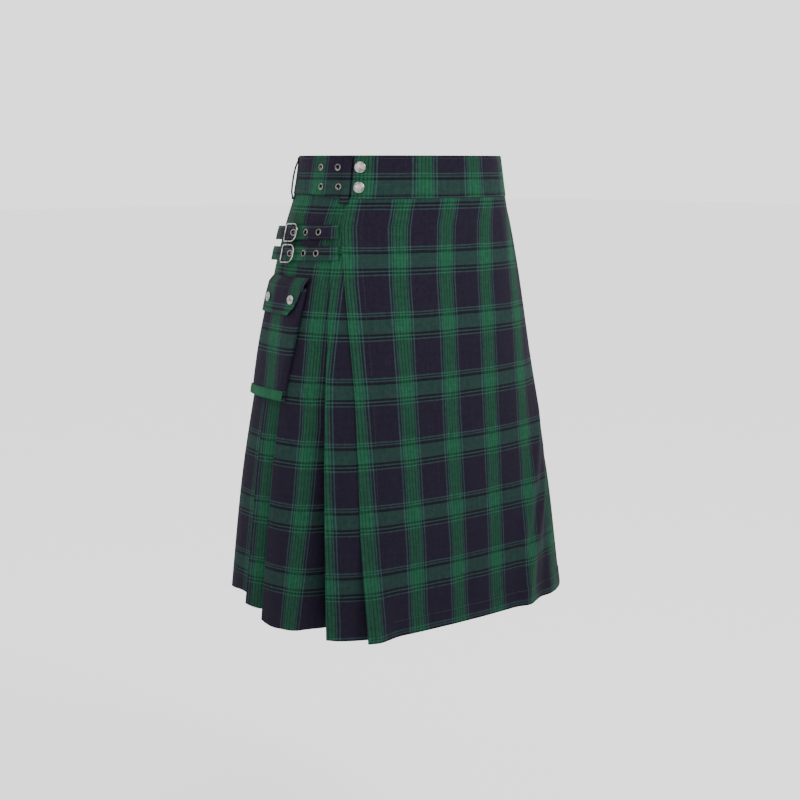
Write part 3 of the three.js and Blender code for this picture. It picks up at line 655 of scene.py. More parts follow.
# Soft creases of the over apron: arc and drop of both ends, half width, and height (minus for a trough).
CREASES = [
    (-118, 66, -88, 118, 9, -1.9),
    (-128, 90, -112, 60, 7, 1.2),
    (-82, 70, -58, 104, 7, 0.9),
    (-60, 60, -48, 110, 8, -0.8),
    (-10, 58, 8, 104, 9, 0.8),
    (45, 60, 40, 120, 8, -0.9),
    (90, 58, 104, 130, 9, 0.9),
    (140, 62, 128, 150, 8, -1.0),
    (-92, 150, -84, 262, 12, -1.0),
    (-128, 178, -116, 330, 9, 0.9),
    (-60, 250, -52, 350, 16, -1.4),
    (-18, 200, -30, 300, 14, 1.1),
    (20, 330, 8, 470, 17, 1.5),
    (64, 420, 40, 600, 14, -1.8),
    (-30, 470, -40, 606, 13, 1.5),
    (-88, 500, -92, 606, 11, -1.5),
    (-126, 420, -134, 560, 10, 1.0),
    (0, 540, -8, 608, 9, -1.1),
    (230, 300, 236, 600, 14, -1.5),
    (212, 150, 232, 420, 12, 0.8),
]


def crease_relief(arc, drop, creases):
    """Soft troughs and ridges between pairs of places on the cloth."""
    relief = 0.0
    for arc0, drop0, arc1, drop1, width, height in creases:
        run = np.array([arc1 - arc0, drop1 - drop0], float)
        size = np.hypot(*run)
        t = ((arc - arc0) * run[0] + (drop - drop0) * run[1]) / size ** 2
        off = ((arc - arc0) * run[1] - (drop - drop0) * run[0]) / size
        ends = smoothstep(t, -0.12, 0.25) * (1 - smoothstep(t, 0.75, 1.12))
        relief = relief + height * ends * np.exp(-(off / width) ** 2)
    return relief


# The line, as laps at drops, from which the apron's warp stripes are measured.
APRON_GRAIN = [(54, 150), (90, 158), (160, 160), (300, 157), (400, 158), (500, 159), (610, 163)]


def apron_sett(arc, drop):
    """Where the warp stripes fall: the apron is cut along its straight grain from its free edge."""
    edge = -np.interp(drop, *np.array(APRON_GRAIN, float).T)
    scale = np.interp(drop, [54, 205, 520, 610], [1.0, 0.985, 1.02, 1.03])
    return (arc - edge) * scale + 13.5


# How far the weft stripes lie up or down from an even run, at drops.
WEFT_SHIFT = [(54, 0), (300, 0), (450, 4), (610, 7)]
PLEAT_WEFT_SHIFT = [(54, -5.5), (95, -5), (150, 0), (300, 0), (450, 2), (610, 3)]


def weft_sett(drop, shift=WEFT_SHIFT):
    return drop - WEFT_START + np.interp(drop, *np.array(shift, float).T)


def hem_wave(arc, drop):
    return 0.4 * np.sin(arc * 0.045 + drop * 0.012)


def over_apron():
    rows, even = 150, 190
    share = np.concatenate([np.linspace(0, 0.955, rows), np.linspace(0.955, 1, 16)[1:]])
    inset = np.array([0, 0.6, 1.5, 3, 6, 10, 14, 18, 22, 24, 25, 26, 27, 28.5])
    middle = drop_at(0.0, share)
    edge = -read_table(FOLD_LINES, FREE_EDGE, middle)[:, None]
    left = read_table(FOLD_LINES, JOIN, middle)[:, None]
    arc = np.concatenate([edge + inset, lerp(edge + inset[-1], left, np.linspace(0, 1, even + 1)[1:])], 1)
    mid = np.broadcast_to(middle[:, None], arc.shape)
    drop = drop_at(arc, share[:, None])
    from_edge = arc - edge
    from_hem = hem_drop(arc) - drop
    base = under_out(arc) + SEAM + drape(arc, mid)
    relief = crease_relief(arc, mid, CREASES) + hem_wave(arc, drop) * smoothstep(drop, 380, 600)
    # The doubled strip along the free edge and the turned hem are a cloth thicker, with a soft step.
    more = DOUBLED_WALL - CLOTH_WALL
    doubled = np.maximum(DOUBLED_WALL - more * smoothstep(from_edge, HEM_STRIP - 2.5, HEM_STRIP + 2.0),
                         DOUBLED_WALL - more * smoothstep(from_hem, HEM_LINE, HEM_LINE + 3))
    sewn = -0.3 * np.exp(-((from_edge - EDGE_SEAMS[1]) / 1.1) ** 2)
    sewn = sewn - 0.25 * np.exp(-((from_hem - HEM_SEAM) / 1.1) ** 2)
    sewn = sewn - 0.22 * np.exp(-((from_edge - EDGE_SEAMS[0]) / 1.0) ** 2)
    rim = 0.5 * np.exp(-from_edge / 0.7) + 0.5 * np.exp(-from_hem / 0.7)
    wave = relief * smoothstep(drop, 56, 75)
    outer = skirt(arc, drop, base + doubled + sewn + wave - rim)
    inner = skirt(arc, drop, base + wave * smoothstep(wave, -0.5, 0.5) + 0.1 * rim)
    uv = cloth_map(apron_sett(arc, mid), weft_sett(mid))
    return cloth("kilt_over_apron", "over_apron", outer, inner, uv, "hung", ["kilt_waistband"])


# ---------------------------------------------------------------- pleats


def opening(drop):
    share = np.clip((drop - YOKE_DROP) / (KILT_LENGTH - YOKE_DROP), 0, 1)
    return 0.35 * smoothstep(drop, YOKE_DROP, KILT_LENGTH) + 0.65 * share


def join_gap(drop):
    return lerp(6, 14, opening(drop))


def fold_at(number, drop):
    if number <= 2:
        return read_table(FOLD_LINES, FOLD_A + number, drop)
    first = read_table(FOLD_LINES, FOLD_C, drop)
    last = ring_length(drop) - read_table(FOLD_LINES, JOIN, drop) - join_gap(drop)
    return lerp(first, last, (number - 2) / (PLEAT_COUNT - 3))


def step_at(number, drop):
    return lerp(FLAT_STEP + 0.3, HEM_STEPS[number], opening(drop))


def under_at(drop):
    return lerp(UNDER_YOKE, UNDER_HEM, opening(drop))


def panel_depth(number, lap, drop):
    if number == 0:
        return np.zeros_like(lap)
    fold, before = fold_at(number, drop), fold_at(number - 1, drop)
    step = step_at(number - 1, drop)
    curve = lerp(1, PANEL_CURVES.get(number, 1.2), opening(drop))
    here = step * (1 - np.clip((lap - before) / (fold - before), 0, 1)) ** curve
    return np.where(lap < before, panel_depth(number - 1, lap, drop) + step, here)


def hairpin(number, drop):
    fold = float(fold_at(number, drop))
    back = fold - float(under_at(drop))
    turn, half = PLEAT_WALL + SEAM, PLEAT_WALL / 2
    deep = float(panel_depth(number, np.array(back), drop)) + float(step_at(number, drop)) / 2
    return dict(face=(fold - half, half), turned=(fold - half, half + turn),
                under=(back + half, half + deep), forward=(back + half, half + deep + turn))


# Where the warp stripes fall at the first folds, as (drop, stripe place); the rest go on evenly.
FOLD_SETT = {0: [(54, 8), (120, 10), (200, 17), (281, 22), (583, 13)],
             1: [(76, -29.5), (160, -30), (230, -29), (309, -31), (350, -37), (430, -40), (600, -36)],
             2: [(76, 5), (130, 2), (160, -2), (600, -3)],
             3: [(76, -10), (150, 0), (230, 20), (300, 34), (600, 34)]}


def fold_sett(number, drop):
    if number in FOLD_SETT:
        return float(np.interp(drop, *np.array(FOLD_SETT[number], float).T))
    return 34.0 + 36.0 * (number - 3)


# Soft bends and creases of each visible panel: share across it, height at the hem, width in shares.
PANEL_RELIEF = {
    1: [(0.12, 1.1, 0.10), (0.42, 2.0, 0.16), (0.66, -1.2, 0.12)],
    2: [(0.45, 0.9, 0.2)],
    3: [(0.5, -0.8, 0.2)],
}


# How far the deep layers go up inside the waistband, and how far the first one goes on forward at the hem.
TUCK = 6.0
FORWARD_REACH = 20.0


def pleat_drops():
    return np.concatenate([np.linspace(0, 0.96, 96), np.linspace(0.96, 1, 12)[1:]])


def pleat_drop(cell, share):
    lift = HEM_LIFT * np.clip(cell[:, 1], 0, HEM_LIFT_DEEPEST) * share
    return drop_at(-cell[:, 0], share) - lift


def pleat_point(cell, share):
    return skirt(-cell[:, 0], pleat_drop(cell, share), -cell[:, 1])


def tucked_point(cell, share):
    """A place on the pleats, whose deep layers run a little way up inside the waistband."""
    tuck = TUCK * smoothstep(cell[:, 1], 1.45, 2.6) * smoothstep(cell[:, 0], 168, 176) * max(0, 1 - share * 90)
    return skirt(-cell[:, 0], pleat_drop(cell, share) - tuck, -cell[:, 1])


def panel_path(number, drop, count):
    """A panel's face from the fold before it to its own fold, as (lap, deep) pairs."""
    before = float(fold_at(number - 1, drop))
    end = float(fold_at(number, drop)) - PLEAT_WALL / 2
    t = np.linspace(0, 1, count)[:-1]
    lap = lerp(before, end, t)
    deep = panel_depth(number, lap, drop) + PLEAT_WALL / 2
    default = [(0.35 + 0.1 * math.sin(number * 2.1), 0.9 * math.sin(number * 1.7 + 0.4), 0.2)]
    for place, height, width in PANEL_RELIEF.get(number, default):
        fade = float(opening(drop)) ** 0.7
        deep = deep - height * fade * np.exp(-((t - place) / width) ** 2) * np.minimum(t * 6, 1)
    return np.stack([lap, deep], 1)


def with_sett(path, sett_at_face, face_index):
    """Adds the stripe place to each point of a path, measured along it from the fold's face."""
    length = run_along(path)
    return np.column_stack([path, sett_at_face - (length - length[face_index])])


def folded_cloth(name, node, path_at, point, held):
    """A cloth of PLEAT_WALL from its path at each drop: (lap, deep, stripe place) rows."""
    outer, inner, uv = [], [], []
    for share in pleat_drops():
        path = path_at(lerp(BAND_HEIGHT + SEAM, KILT_LENGTH, share))
        for rows, side in zip((outer, inner), offset_path(path[:, :2], PLEAT_WALL / 2)):
            rows.append(point(side, share))
        uv.append(np.stack([path[:, 2], weft_sett(pleat_drop(path, share), PLEAT_WEFT_SHIFT)], 1))
    middle = (np.array(outer) + np.array(inner)) / 2
    return cloth(name, node, outer, inner, uv, held, ["kilt_waistband"], middle, sharp=50)


def pleats(stretch, first, last):
    def path_at(drop):
        cells = []
        for number in range(first, last + 1):
            start, end = hairpin(number - 1, drop)["forward"], hairpin(number, drop)
            face = [start, *panel_path(number, drop, 13), end["face"]]
            if number == 1:
                face.insert(0, (start[0] - FORWARD_REACH * float(opening(drop)), start[1] + 0.01))
            path = np.array(face + [end["turned"], end["under"]])
            cells.append(with_sett(path, fold_sett(number, drop), len(face) - 1))
        if last == PLEAT_COUNT - 1:
            # The last pleat goes on behind the join with the over apron.
            fold, gap = float(fold_at(last, drop)), float(join_gap(drop))
            deep = float(step_at(last, drop)) + PLEAT_WALL / 2 + 0.6
            tail = np.array([hairpin(last, drop)["forward"], (fold, deep), (fold + gap, deep),
                             (fold + gap + 24, max(deep * 0.7, 3.2))])
            cells.append(with_sett(tail, 20.0, 0))
        return np.concatenate(cells)

    return folded_cloth("kilt_pleats_" + stretch, "pleats_" + stretch, path_at, tucked_point, "folded")


def under_apron_path(drop):
    end = hairpin(0, drop)
    edge = -float(read_table(FOLD_LINES, FREE_EDGE, drop))
    left = float(read_table(FOLD_LINES, JOIN, drop))
    inset = np.array([0, 4, 8, 14, 20, 26])
    even = lerp(edge + inset[-1], left, np.arange(1, 14) / 20)
    arcs = np.concatenate([edge + inset, even])[::-1]
    relief = np.minimum(drape(arcs, drop), 0)
    flat = np.stack([-arcs, -under_out(arcs) - relief + PLEAT_WALL / 2], 1)
    to_face = lerp(flat[-1], np.array(end["face"]), np.array([0.25, 0.5, 0.75])[:, None])
    path = np.concatenate([flat, to_face, [end["face"]], [end["turned"]], [end["under"]]])
    return with_sett(path, fold_sett(0, drop), len(path) - 3)


# ---------------------------------------------------------------- pocket

POCKET = dict(lap=210.0, drop=156.0, slant=0.32, width=90.0, bottom=311.0, stand=4.4)
POCKET_DEPTH = POCKET["bottom"] - POCKET["drop"]
POCKET_BAND_HEIGHT = 11.5
FLAP_DEPTH = 47.0
# How far the flap's front edge lies behind the pocket's, at three places down.
FLAP_FRONT = np.array([(0, -1), (37, 7.5), (FLAP_DEPTH, 17)])
FLAP_PROFILE = np.array([(-1, SEAM), (3, 3.4), (8, 6.1), (22, 6.9), (37, 7.3), (FLAP_DEPTH, 7.6)])
FLAP_SNAP = dict(inset=17.0, down=27.0, radius=6.2, rise=2.4)


def pocket_point(across, down, out):
    lap = POCKET["lap"] + across + POCKET["slant"] * down
    return skirt(-lap, POCKET["drop"] + down, out)


def pocket_body():
    half = CLOTH_WALL / 2
    width, stand = POCKET["width"], POCKET["stand"]
    outer, inner, uv = [], [], []
    for share in np.linspace(0, 1, 40):
        down = lerp(11.0, POCKET_DEPTH, share)
        deep = -(stand + 1.2 * math.sin(math.pi * share))
        path = np.array([(half, -SEAM), (half, deep + 1.6), (2.6, deep)]
                        + [(t * width, deep - 0.5) for t in np.linspace(0.06, 0.94, 23)]
                        + [(width - 2.6, deep), (width - half, deep + 1.6), (width - half, -SEAM)])
        across = path[:, 0] / width
        sag = 0.9 * np.sin(across * math.pi * 2.2 + share * 2.0) * np.sin(math.pi * share)
        face = (across > 0.05) & (across < 0.95)
        path[:, 1] -= np.where(face, np.clip(sag, -0.5, 0.9), 0)
        for rows, side in zip((outer, inner), offset_path(path, half)):
            rows.append(pocket_point(side[:, 0], down, -side[:, 1]))
        sett = np.interp(down, *np.array(POCKET_SETT, float).T)
        uv.append(np.stack([sett - run_along(path), np.full(len(path), down + POCKET_WEFT)], 1))
    cloth("pocket_pouch", "pocket_body", outer, inner, uv, "hung", ["kilt_pleats_right"])


POCKET_SETT = [(11, 67), (75, 62), (130, 51), (155, 48)]
POCKET_WEFT = -61.5
FLAP_SETT = 33.0
FLAP_SETT_PACE = 1.25
FLAP_WEFT = 49.0
FLAP_SEAM, FLAP_TOP_SEAM = 4.2, 11.5


def pocket_band():
    bottom = POCKET_DEPTH + SEAM
    top = bottom - POCKET_BAND_HEIGHT
    face = POCKET["stand"] + CLOTH_WALL / 2 + 0.5 + SEAM
    # The band's section: down and out of its inner side, out of its outer side, and how much lower that lies.
    profile = np.array([
        (top, face + 0.3, face + 0.2 + CLOTH_WALL * 0.5, 0),
        (top + 0.5, face + 0.3, face + 0.3 + CLOTH_WALL, 0),
        (top + 2.6, face + 0.25, face + 0.1 + CLOTH_WALL, 0),
        (bottom - POCKET_BAND_HEIGHT / 2, face + 0.15, face + 0.4 + CLOTH_WALL, 0),
        (bottom - 2.4, face + 0.05, face + CLOTH_WALL + 0.1, CLOTH_WALL * 0.5),
        (bottom, face, face + CLOTH_WALL - 0.1, CLOTH_WALL),
        (bottom, face * 0.5, face * 0.5, CLOTH_WALL),
        (bottom, SEAM, SEAM, CLOTH_WALL),
    ])
    across = np.linspace(0, POCKET["width"], 41)
    outer = [pocket_point(across, down + lower, out) for down, _, out, lower in profile]
    inner = [pocket_point(across, down, out) for down, out, _, _ in profile]
    uv = cloth_map(10.3 - across * 0.034, (10.0 + run_along(profile[:, [0, 2]]) * 0.6)[:, None])
    cloth("pocket_bottom_band", "pocket_band", outer, inner, uv, "folded", ["pocket_pouch"])


def flap_out(across, down):
    base = np.interp(down, FLAP_PROFILE[:, 0], FLAP_PROFILE[:, 1])
    return base + 3 * smoothstep(down, 15, FLAP_DEPTH) * (1 - smoothstep(across, 5, 45))


def flap_front(down):
    return np.interp(down, FLAP_FRONT[:, 0], FLAP_FRONT[:, 1])


def pocket_flap():
    down = np.array([-1, -0.4, 0.6, 1.8, 3, 4.5, 6, 8, 10, 13, 16, 20, 24, 28, 32, 36, 39, 41, 43, 44.5,
                     45.6, 46.4, FLAP_DEPTH])
    t = np.concatenate([[0, 0.008, 0.02, 0.035, 0.05, 0.07, 0.1], np.linspace(0.14, 0.86, 24),
                        [0.9, 0.93, 0.95, 0.965, 0.98, 0.992, 1]])
    front, back = flap_front(down)[:, None], POCKET["width"] + 1
    across = lerp(front, back, t)
    rows = np.broadcast_to(down[:, None], across.shape)
    out = flap_out(across, rows)
    side = np.minimum(across - front, back - across)
    low = FLAP_DEPTH - rows
    sewn = -0.28 * (np.exp(-((side - FLAP_SEAM) / 0.9) ** 2) * smoothstep(rows, 3, 8)
                    + np.exp(-((low - FLAP_SEAM) / 0.9) ** 2) + np.exp(-((rows - FLAP_TOP_SEAM) / 0.9) ** 2))
    rim = 0.5 * np.exp(-side / 0.6) + 0.5 * np.exp(-low / 0.6)
    wave = 0.5 * np.sin(across * 0.075 + 0.6) * smoothstep(rows, 6, 40)
    outer = pocket_point(across, rows - 0.2, out + CLOTH_WALL + sewn - rim + wave)
    inner = pocket_point(across, rows, out + wave)
    uv = cloth_map(FLAP_SETT - FLAP_SETT_PACE * across, rows + FLAP_WEFT)
    cloth("pocket_flap_cloth", "pocket_flap", outer, inner, uv, "hung", ["pocket_pouch"])


# ---------------------------------------------------------------- straps and buckles

STRAP_WIDTH = 18.0
STRAP_INSET = 5.0
STRAP_SEAM = 2.4
STRAP_WALL = 1.4
TAB_WALL = 1.0
TAB_WIDTH = 14.5
TAB_REACH = 42.0
TAB_GAP = 0.4
STRAPS = [
    dict(name="upper", drop=95.5, buckle=247.0, eyelets=[194, 218.5, 241.7], tip=299.0, sett=10.0, weft=33.5),
    dict(name="lower", drop=122.0, buckle=252.0, eyelets=[198, 221, 246.7], tip=304.0, sett=12.0, weft=-2.0),
]
BUCKLE = dict(width=30.6, height=25.0, wire=1.0, plane=5.7, bar=1.0, bar_out=2.9, round=9.5)
# The straps fall a little towards their tips, from where they leave the over apron.
STRAP_FALL = 0.04
STRAP_START = 160.0
EYELET = dict(hole=3.7, barrel=3.35, bore=2.85, flange=4.5, seat=0.4, rise=0.85)
STRAP_HEIGHTS = np.array([(-34, SEAM), (-20, SEAM), (-14.5, 0.7), (-10, 1.9), (-5.3, 3.7), (-2, 5.1),
                          (2, 5.5), (6, 4.6), (10, 3.4), (14.5, 2.95), (22, 3.0)])


def fallen(drop, lap):
    return drop + STRAP_FALL * (lap - STRAP_START)


def fallen_place(lap, drop, across, out):
    """A point of a strap from its lap, the strap's drop, the way across it and its out."""
    def on_middle(along):
        return skirt(-along, fallen(drop, along), out)

    run = on_middle(lap + 1) - on_middle(lap - 1)
    run /= np.linalg.norm(run, axis=-1)[..., None]
    level = fallen(drop, lap) + across
    astray = ((skirt(-lap, level, out) - on_middle(lap)) * run).sum(-1)
    return skirt(astray - lap, level, out)


def turned(matrix, angle, first, second):
    """A seat turned from its first axis towards its second one."""
    turn = np.eye(4)
    turn[first, first] = turn[second, second] = math.cos(angle)
    turn[first, second], turn[second, first] = -math.sin(angle), math.sin(angle)
    return matrix @ turn


def fallen_seat(lap, drop, out):
    return turned(seat(-lap, fallen(drop, lap), out), math.atan(STRAP_FALL), 0, 1)


def strap_body(strap):
    drop, buckle_lap, tip = strap["drop"], strap["buckle"], strap["tip"]
    start = float(read_table(FOLD_LINES, FREE_EDGE, drop)) + STRAP_INSET
    path = [(start, SEAM), (start + 14, SEAM)]
    path += [(buckle_lap + off, out) for off, out in STRAP_HEIGHTS]
    path += [(lerp(buckle_lap + 22, tip, 0.5), 4.6), (tip, 7.4)]
    path = rounded(refine(path, 4.0), 1)
    line = np.stack([path[:, 0], -path[:, 1] - STRAP_WALL / 2], 1)
    share = np.array([0, 0.02, 0.06, 0.12, 0.18, 0.3, 0.5, 0.7, 0.82, 0.88, 0.94, 0.98, 1])
    edge = np.minimum(share, 1 - share) * STRAP_WIDTH
    rim = 0.42 * np.exp(-edge / 0.45)
    sewn = 0.22 * np.exp(-((edge - STRAP_SEAM) / 0.8) ** 2)
    taper = smoothstep(np.arange(len(line)), len(line) - 4, len(line) - 1)
    grids = []
    # The outer side is thinned at its rims and seams, the inner side at its rims.
    for cells, sign, thin in zip(offset_path(line, STRAP_WALL / 2), (-1, 1), (rim + sewn, rim)):
        rows = []
        for part, less in zip(share, thin):
            across, out = (part - 0.5) * STRAP_WIDTH, -cells[:, 1] + sign * less
            points = fallen_place(cells[:, 0] - 6 * taper * part, drop, across, out)
            points[0] = skirt(-cells[0, 0], fallen(drop, cells[0, 0]) + across, out[0])
            rows.append(points)
        grids.append(np.array(rows))
    uv = cloth_map(strap["sett"] - run_along(line), (share * STRAP_WIDTH + strap["weft"])[:, None])
    return cloth("side_strap_" + strap["name"], "strap_" + strap["name"], *grids, uv, "laid",
                 ["kilt_pleats_right", "kilt_over_apron"])


def strap_out(lap, buckle_lap):
    return float(np.interp(lap - buckle_lap, STRAP_HEIGHTS[:, 0], STRAP_HEIGHTS[:, 1])) + STRAP_WALL / 2


def strap_seat(lap, drop, buckle_lap):
    rise = strap_out(lap + 1.5, buckle_lap) - strap_out(lap - 1.5, buckle_lap)
    # The strap rises along its laps, so against the seat's x.
    return turned(fallen_seat(lap, drop, strap_out(lap, buckle_lap)), math.atan2(rise, 3), 2, 0)


def moved(matrix, z):
    return np.column_stack([matrix[:, :3], matrix[:, 3] + matrix[:, 2] * z])


def metal_piece(name, node, parts, sharp=35, material=None):
    points, faces = merge(parts)
    piece = finish_piece(mesh_object(name, points, faces, sharp=sharp), material or nickel)
    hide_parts(node)


def eyelet(name, node, matrix, depth):
    bore, barrel, flange, under, rise = (EYELET[k] for k in ("bore", "barrel", "flange", "seat", "rise"))
    ring = [(bore, -depth), (barrel, -depth), (barrel, under), (flange, under), (flange + 0.02, under + 0.12),
            (flange - 0.12, under + 0.32), (flange - 0.4, rise - 0.02), (bore + 1.0, rise + 0.2),
            (bore + 0.6, rise + 0.27), (bore + 0.28, rise + 0.2), (bore + 0.06, rise), (bore, rise - 0.3),
            (bore, -depth)]
    metal_piece(name, node, [lathe(ring, 32, matrix)], material=aged_nickel)


def cutter(points, faces, matrix):
    mesh = bpy.data.meshes.new("drill")
    mesh.from_pydata([tuple(p) for p in placed(points, matrix) * MM], [], faces)
    return bpy.data.objects.new("drill", mesh)


def drill(matrix, radius, depth, count=24):
    angle = 2 * np.pi * np.arange(count) / count
    ring = np.stack([radius * np.cos(angle), radius * np.sin(angle)], 1)
    points = np.concatenate([np.column_stack([ring, np.full(count, z)]) for z in (-depth, depth)])
    ends = [tuple(range(count))[::-1], tuple(range(count, 2 * count))]
    return cutter(points, hoop_faces(2, count) + ends, matrix)


def drill_box(matrix, size):
    corners = np.array([(x, y, z) for x in (-0.5, 0.5) for y in (-0.5, 0.5) for z in (-0.5, 0.5)]) * size
    faces = [(0, 1, 3, 2), (4, 6, 7, 5), (0, 4, 5, 1), (2, 3, 7, 6), (0, 2, 6, 4), (1, 5, 7, 3)]
    return cutter(corners, faces, matrix)


def drilled(piece, drills):
    """Cuts real holes through a piece and keeps its cloth map."""
    scene = bpy.context.scene
    for tool in drills:
        scene.collection.objects.link(tool)
        modifier = piece.modifiers.new("hole", "BOOLEAN")
        modifier.object = tool
        modifier.operation = "DIFFERENCE"
        modifier.solver = "EXACT"
    graph = bpy.context.evaluated_depsgraph_get()
    mesh = bpy.data.meshes.new_from_object(piece.evaluated_get(graph))
    piece.modifiers.clear()
    piece.data = mesh
    for tool in drills:
        bpy.data.objects.remove(tool, do_unlink=True)


def buckle_tab(strap):
    drop, buckle_lap, name = strap["drop"], strap["buckle"], strap["name"]
    half, bar_out = TAB_WALL / 2, BUCKLE["bar_out"]
    low = -(TAB_GAP + half)
    high = -(bar_out + BUCKLE["bar"] + TAB_GAP + half)
    front = -(BUCKLE["bar"] + TAB_GAP + half)
    top = low - TAB_WALL - SEAM
    path = np.array([(TAB_REACH, low), (9, low), (front + 0.8, low - 0.2), (front, -bar_out + 0.7),
                     (front, -bar_out - 0.7), (front + 0.8, high + 0.2), (2.4, high), (9, top),
                     (TAB_REACH - 4, top)])
    path = refine(path + (buckle_lap, 0), 5.0)
    share = np.array([0, 0.03, 0.1, 0.3, 0.5, 0.7, 0.9, 0.97, 1])
    across = (share - 0.5) * TAB_WIDTH
    outer, inner = [[fallen_place(line[:, 0], drop, place, -line[:, 1]) for place in across]
                    for line in offset_path(path, half)]
    uv = cloth_map(strap["sett"] + 20 - run_along(path), (share * TAB_WIDTH + strap["weft"] + 3)[:, None])
    tab = cloth("buckle_tab_" + name, "buckle_%s_tab" % name, outer, inner, uv, "folded",
                ["kilt_pleats_right"])
    drilled(tab, [drill_box(fallen_seat(buckle_lap - 3.6, drop, bar_out), (7, 4, 12))])


def buckle_parts(strap):
    wire, bar, plane, name = BUCKLE["wire"], BUCKLE["bar"], BUCKLE["plane"], strap["name"]
    half_width, half_height = BUCKLE["width"] / 2 - wire, BUCKLE["height"] / 2 - wire
    small, big = 3.0, BUCKLE["round"]
    outline = []
    # A corner is the sides it lies to, its radius and the angle where its arc starts.
    corners = [(1, 1, big, 0), (-1, 1, small, 90), (-1, -1, small, 180), (1, -1, big, 270)]
    for side, up, radius, first in corners:
        x, y = side * (half_width - radius), up * (half_height - radius)
        for a in np.radians(first + 90 * np.arange(9) / 8):
            outline.append((x + radius * math.cos(a), y + radius * math.sin(a), 0.0))
    outline = refine(outline + outline[:1], 2.0)[:-1]
    sink = BUCKLE["bar_out"] - plane
    half_bar = [(half_height, 0), (half_height - 0.9, sink * 0.75), (half_height - 2.4, sink)]
    route = [(0, y, z) for y, z in half_bar] + [(0, 0, sink)] + [(0, -y, z) for y, z in half_bar[::-1]]
    start = np.array([bar + SEAM + 0.3, 0, BUCKLE["bar_out"] + 0.3 - plane])
    tip = np.array([BUCKLE["width"] / 2 - 0.6, 0, wire + SEAM + 0.75])
    t = np.linspace(0, 1, 16)[:, None]
    prong = lerp(start, tip, t) + np.array([0, 0, 0.35]) * np.sin(math.pi * t)
    prong_radius = 0.7 * (1 - 0.35 * smoothstep(t[:, 0], 0.8, 1.0))
    matrix = fallen_seat(strap["buckle"], strap["drop"], plane)
    frame_bars = [tube(outline, wire, 14, closed=True), tube(rounded(np.array(route), 2), bar, 12)]
    for kind, bars in (("frame", frame_bars), ("prong", [tube(prong, prong_radius, 12)])):
        metal_piece("buckle_%s_%s" % (kind, name), "buckle_%s_%s" % (name, kind),
                    [(placed(points, matrix), faces) for points, faces in bars])


def snap(name, node, matrix, radius, rise, segments):
    profile = [(0.0, 0.0), (radius - 0.5, 0.0), (radius - 0.12, 0.14), (radius, 0.5), (radius - 0.06, 0.78)]
    for a in np.linspace(0.06, 1, 14)[:-1] * math.pi / 2:
        profile.append((radius * 0.965 * math.cos(a), 0.9 + (rise - 0.9) * math.sin(a)))
    metal_piece(name, node, [lathe(profile + [(0.001, rise)], segments, matrix)], 60)


WAIST_SNAP = dict(laps=[131.5, 134.5], drops=[15.0, 40.0], radius=7.6, rise=3.1)
BAND_EYELETS = dict(laps=[163.0, 192.0], drops=[15.0, 39.5])


def trims(band, strap_pieces):
    holes = []
    places = [(lap, drop) for lap in BAND_EYELETS["laps"] for drop in BAND_EYELETS["drops"]]
    for number, (lap, drop) in enumerate(places, 1):
        eyelet("eyelet_band_%d" % number, "band_eyelet_%d" % number, seat(-lap, drop, 1.0), BAND_WALL)
        holes.append(drill(seat(-lap, drop, 0.0), EYELET["hole"], 4.5))
    drilled(band, holes)
    for number, (lap, drop) in enumerate(zip(WAIST_SNAP["laps"], WAIST_SNAP["drops"]), 1):
        out = float(band_outer(np.array(-lap - BAND_OVER_END))) + SEAM + 0.15
        snap("snap_waist_%d" % number, "waist_snap_%d" % number, seat(-lap, drop, out),
             WAIST_SNAP["radius"], WAIST_SNAP["rise"], 48)
    down = FLAP_SNAP["down"]
    for side, across in (("front", FLAP_SNAP["inset"]), ("back", POCKET["width"] - FLAP_SNAP["inset"])):
        lap = POCKET["lap"] + across + POCKET["slant"] * down
        out = float(flap_out(across, down)) + CLOTH_WALL + 2 * SEAM
        snap("snap_pocket_" + side, "pocket_snap_" + side, seat(-lap, POCKET["drop"] + down, out),
             FLAP_SNAP["radius"], FLAP_SNAP["rise"], 40)
    for strap, piece in zip(STRAPS, strap_pieces):
        holes = []
        for number, lap in enumerate(strap["eyelets"], 1):
            which = (strap["name"], number)
            matrix = strap_seat(lap, strap["drop"], strap["buckle"])
            eyelet("eyelet_strap_%s_%d" % which, "strap_%s_eyelet_%d" % which,
                   moved(matrix, STRAP_WALL / 2), STRAP_WALL - 0.1)
            holes.append(drill(matrix, EYELET["hole"], 2.4))
        drilled(piece, holes)
        buckle_tab(strap)
        buckle_parts(strap)


# ---------------------------------------------------------------- belt loops

BELT_LOOPS = [
    dict(lap=149.8, width=11.0, rise=1.6, low=61.0, foot=2.8, sett=56.0),
    dict(lap=264.0, width=12.0, rise=3.3, low=57.0, foot=1.05, sett=50.0),
    dict(lap=368.0, width=12.0, rise=3.0, low=57.0, foot=1.05, sett=12.0),
    dict(lap=462.0, width=12.0, rise=3.0, low=57.0, foot=1.05, sett=45.0),
    dict(lap=566.0, width=12.0, rise=3.3, low=57.0, foot=1.05, sett=20.0),
]
LOOP_WALL = 1.4


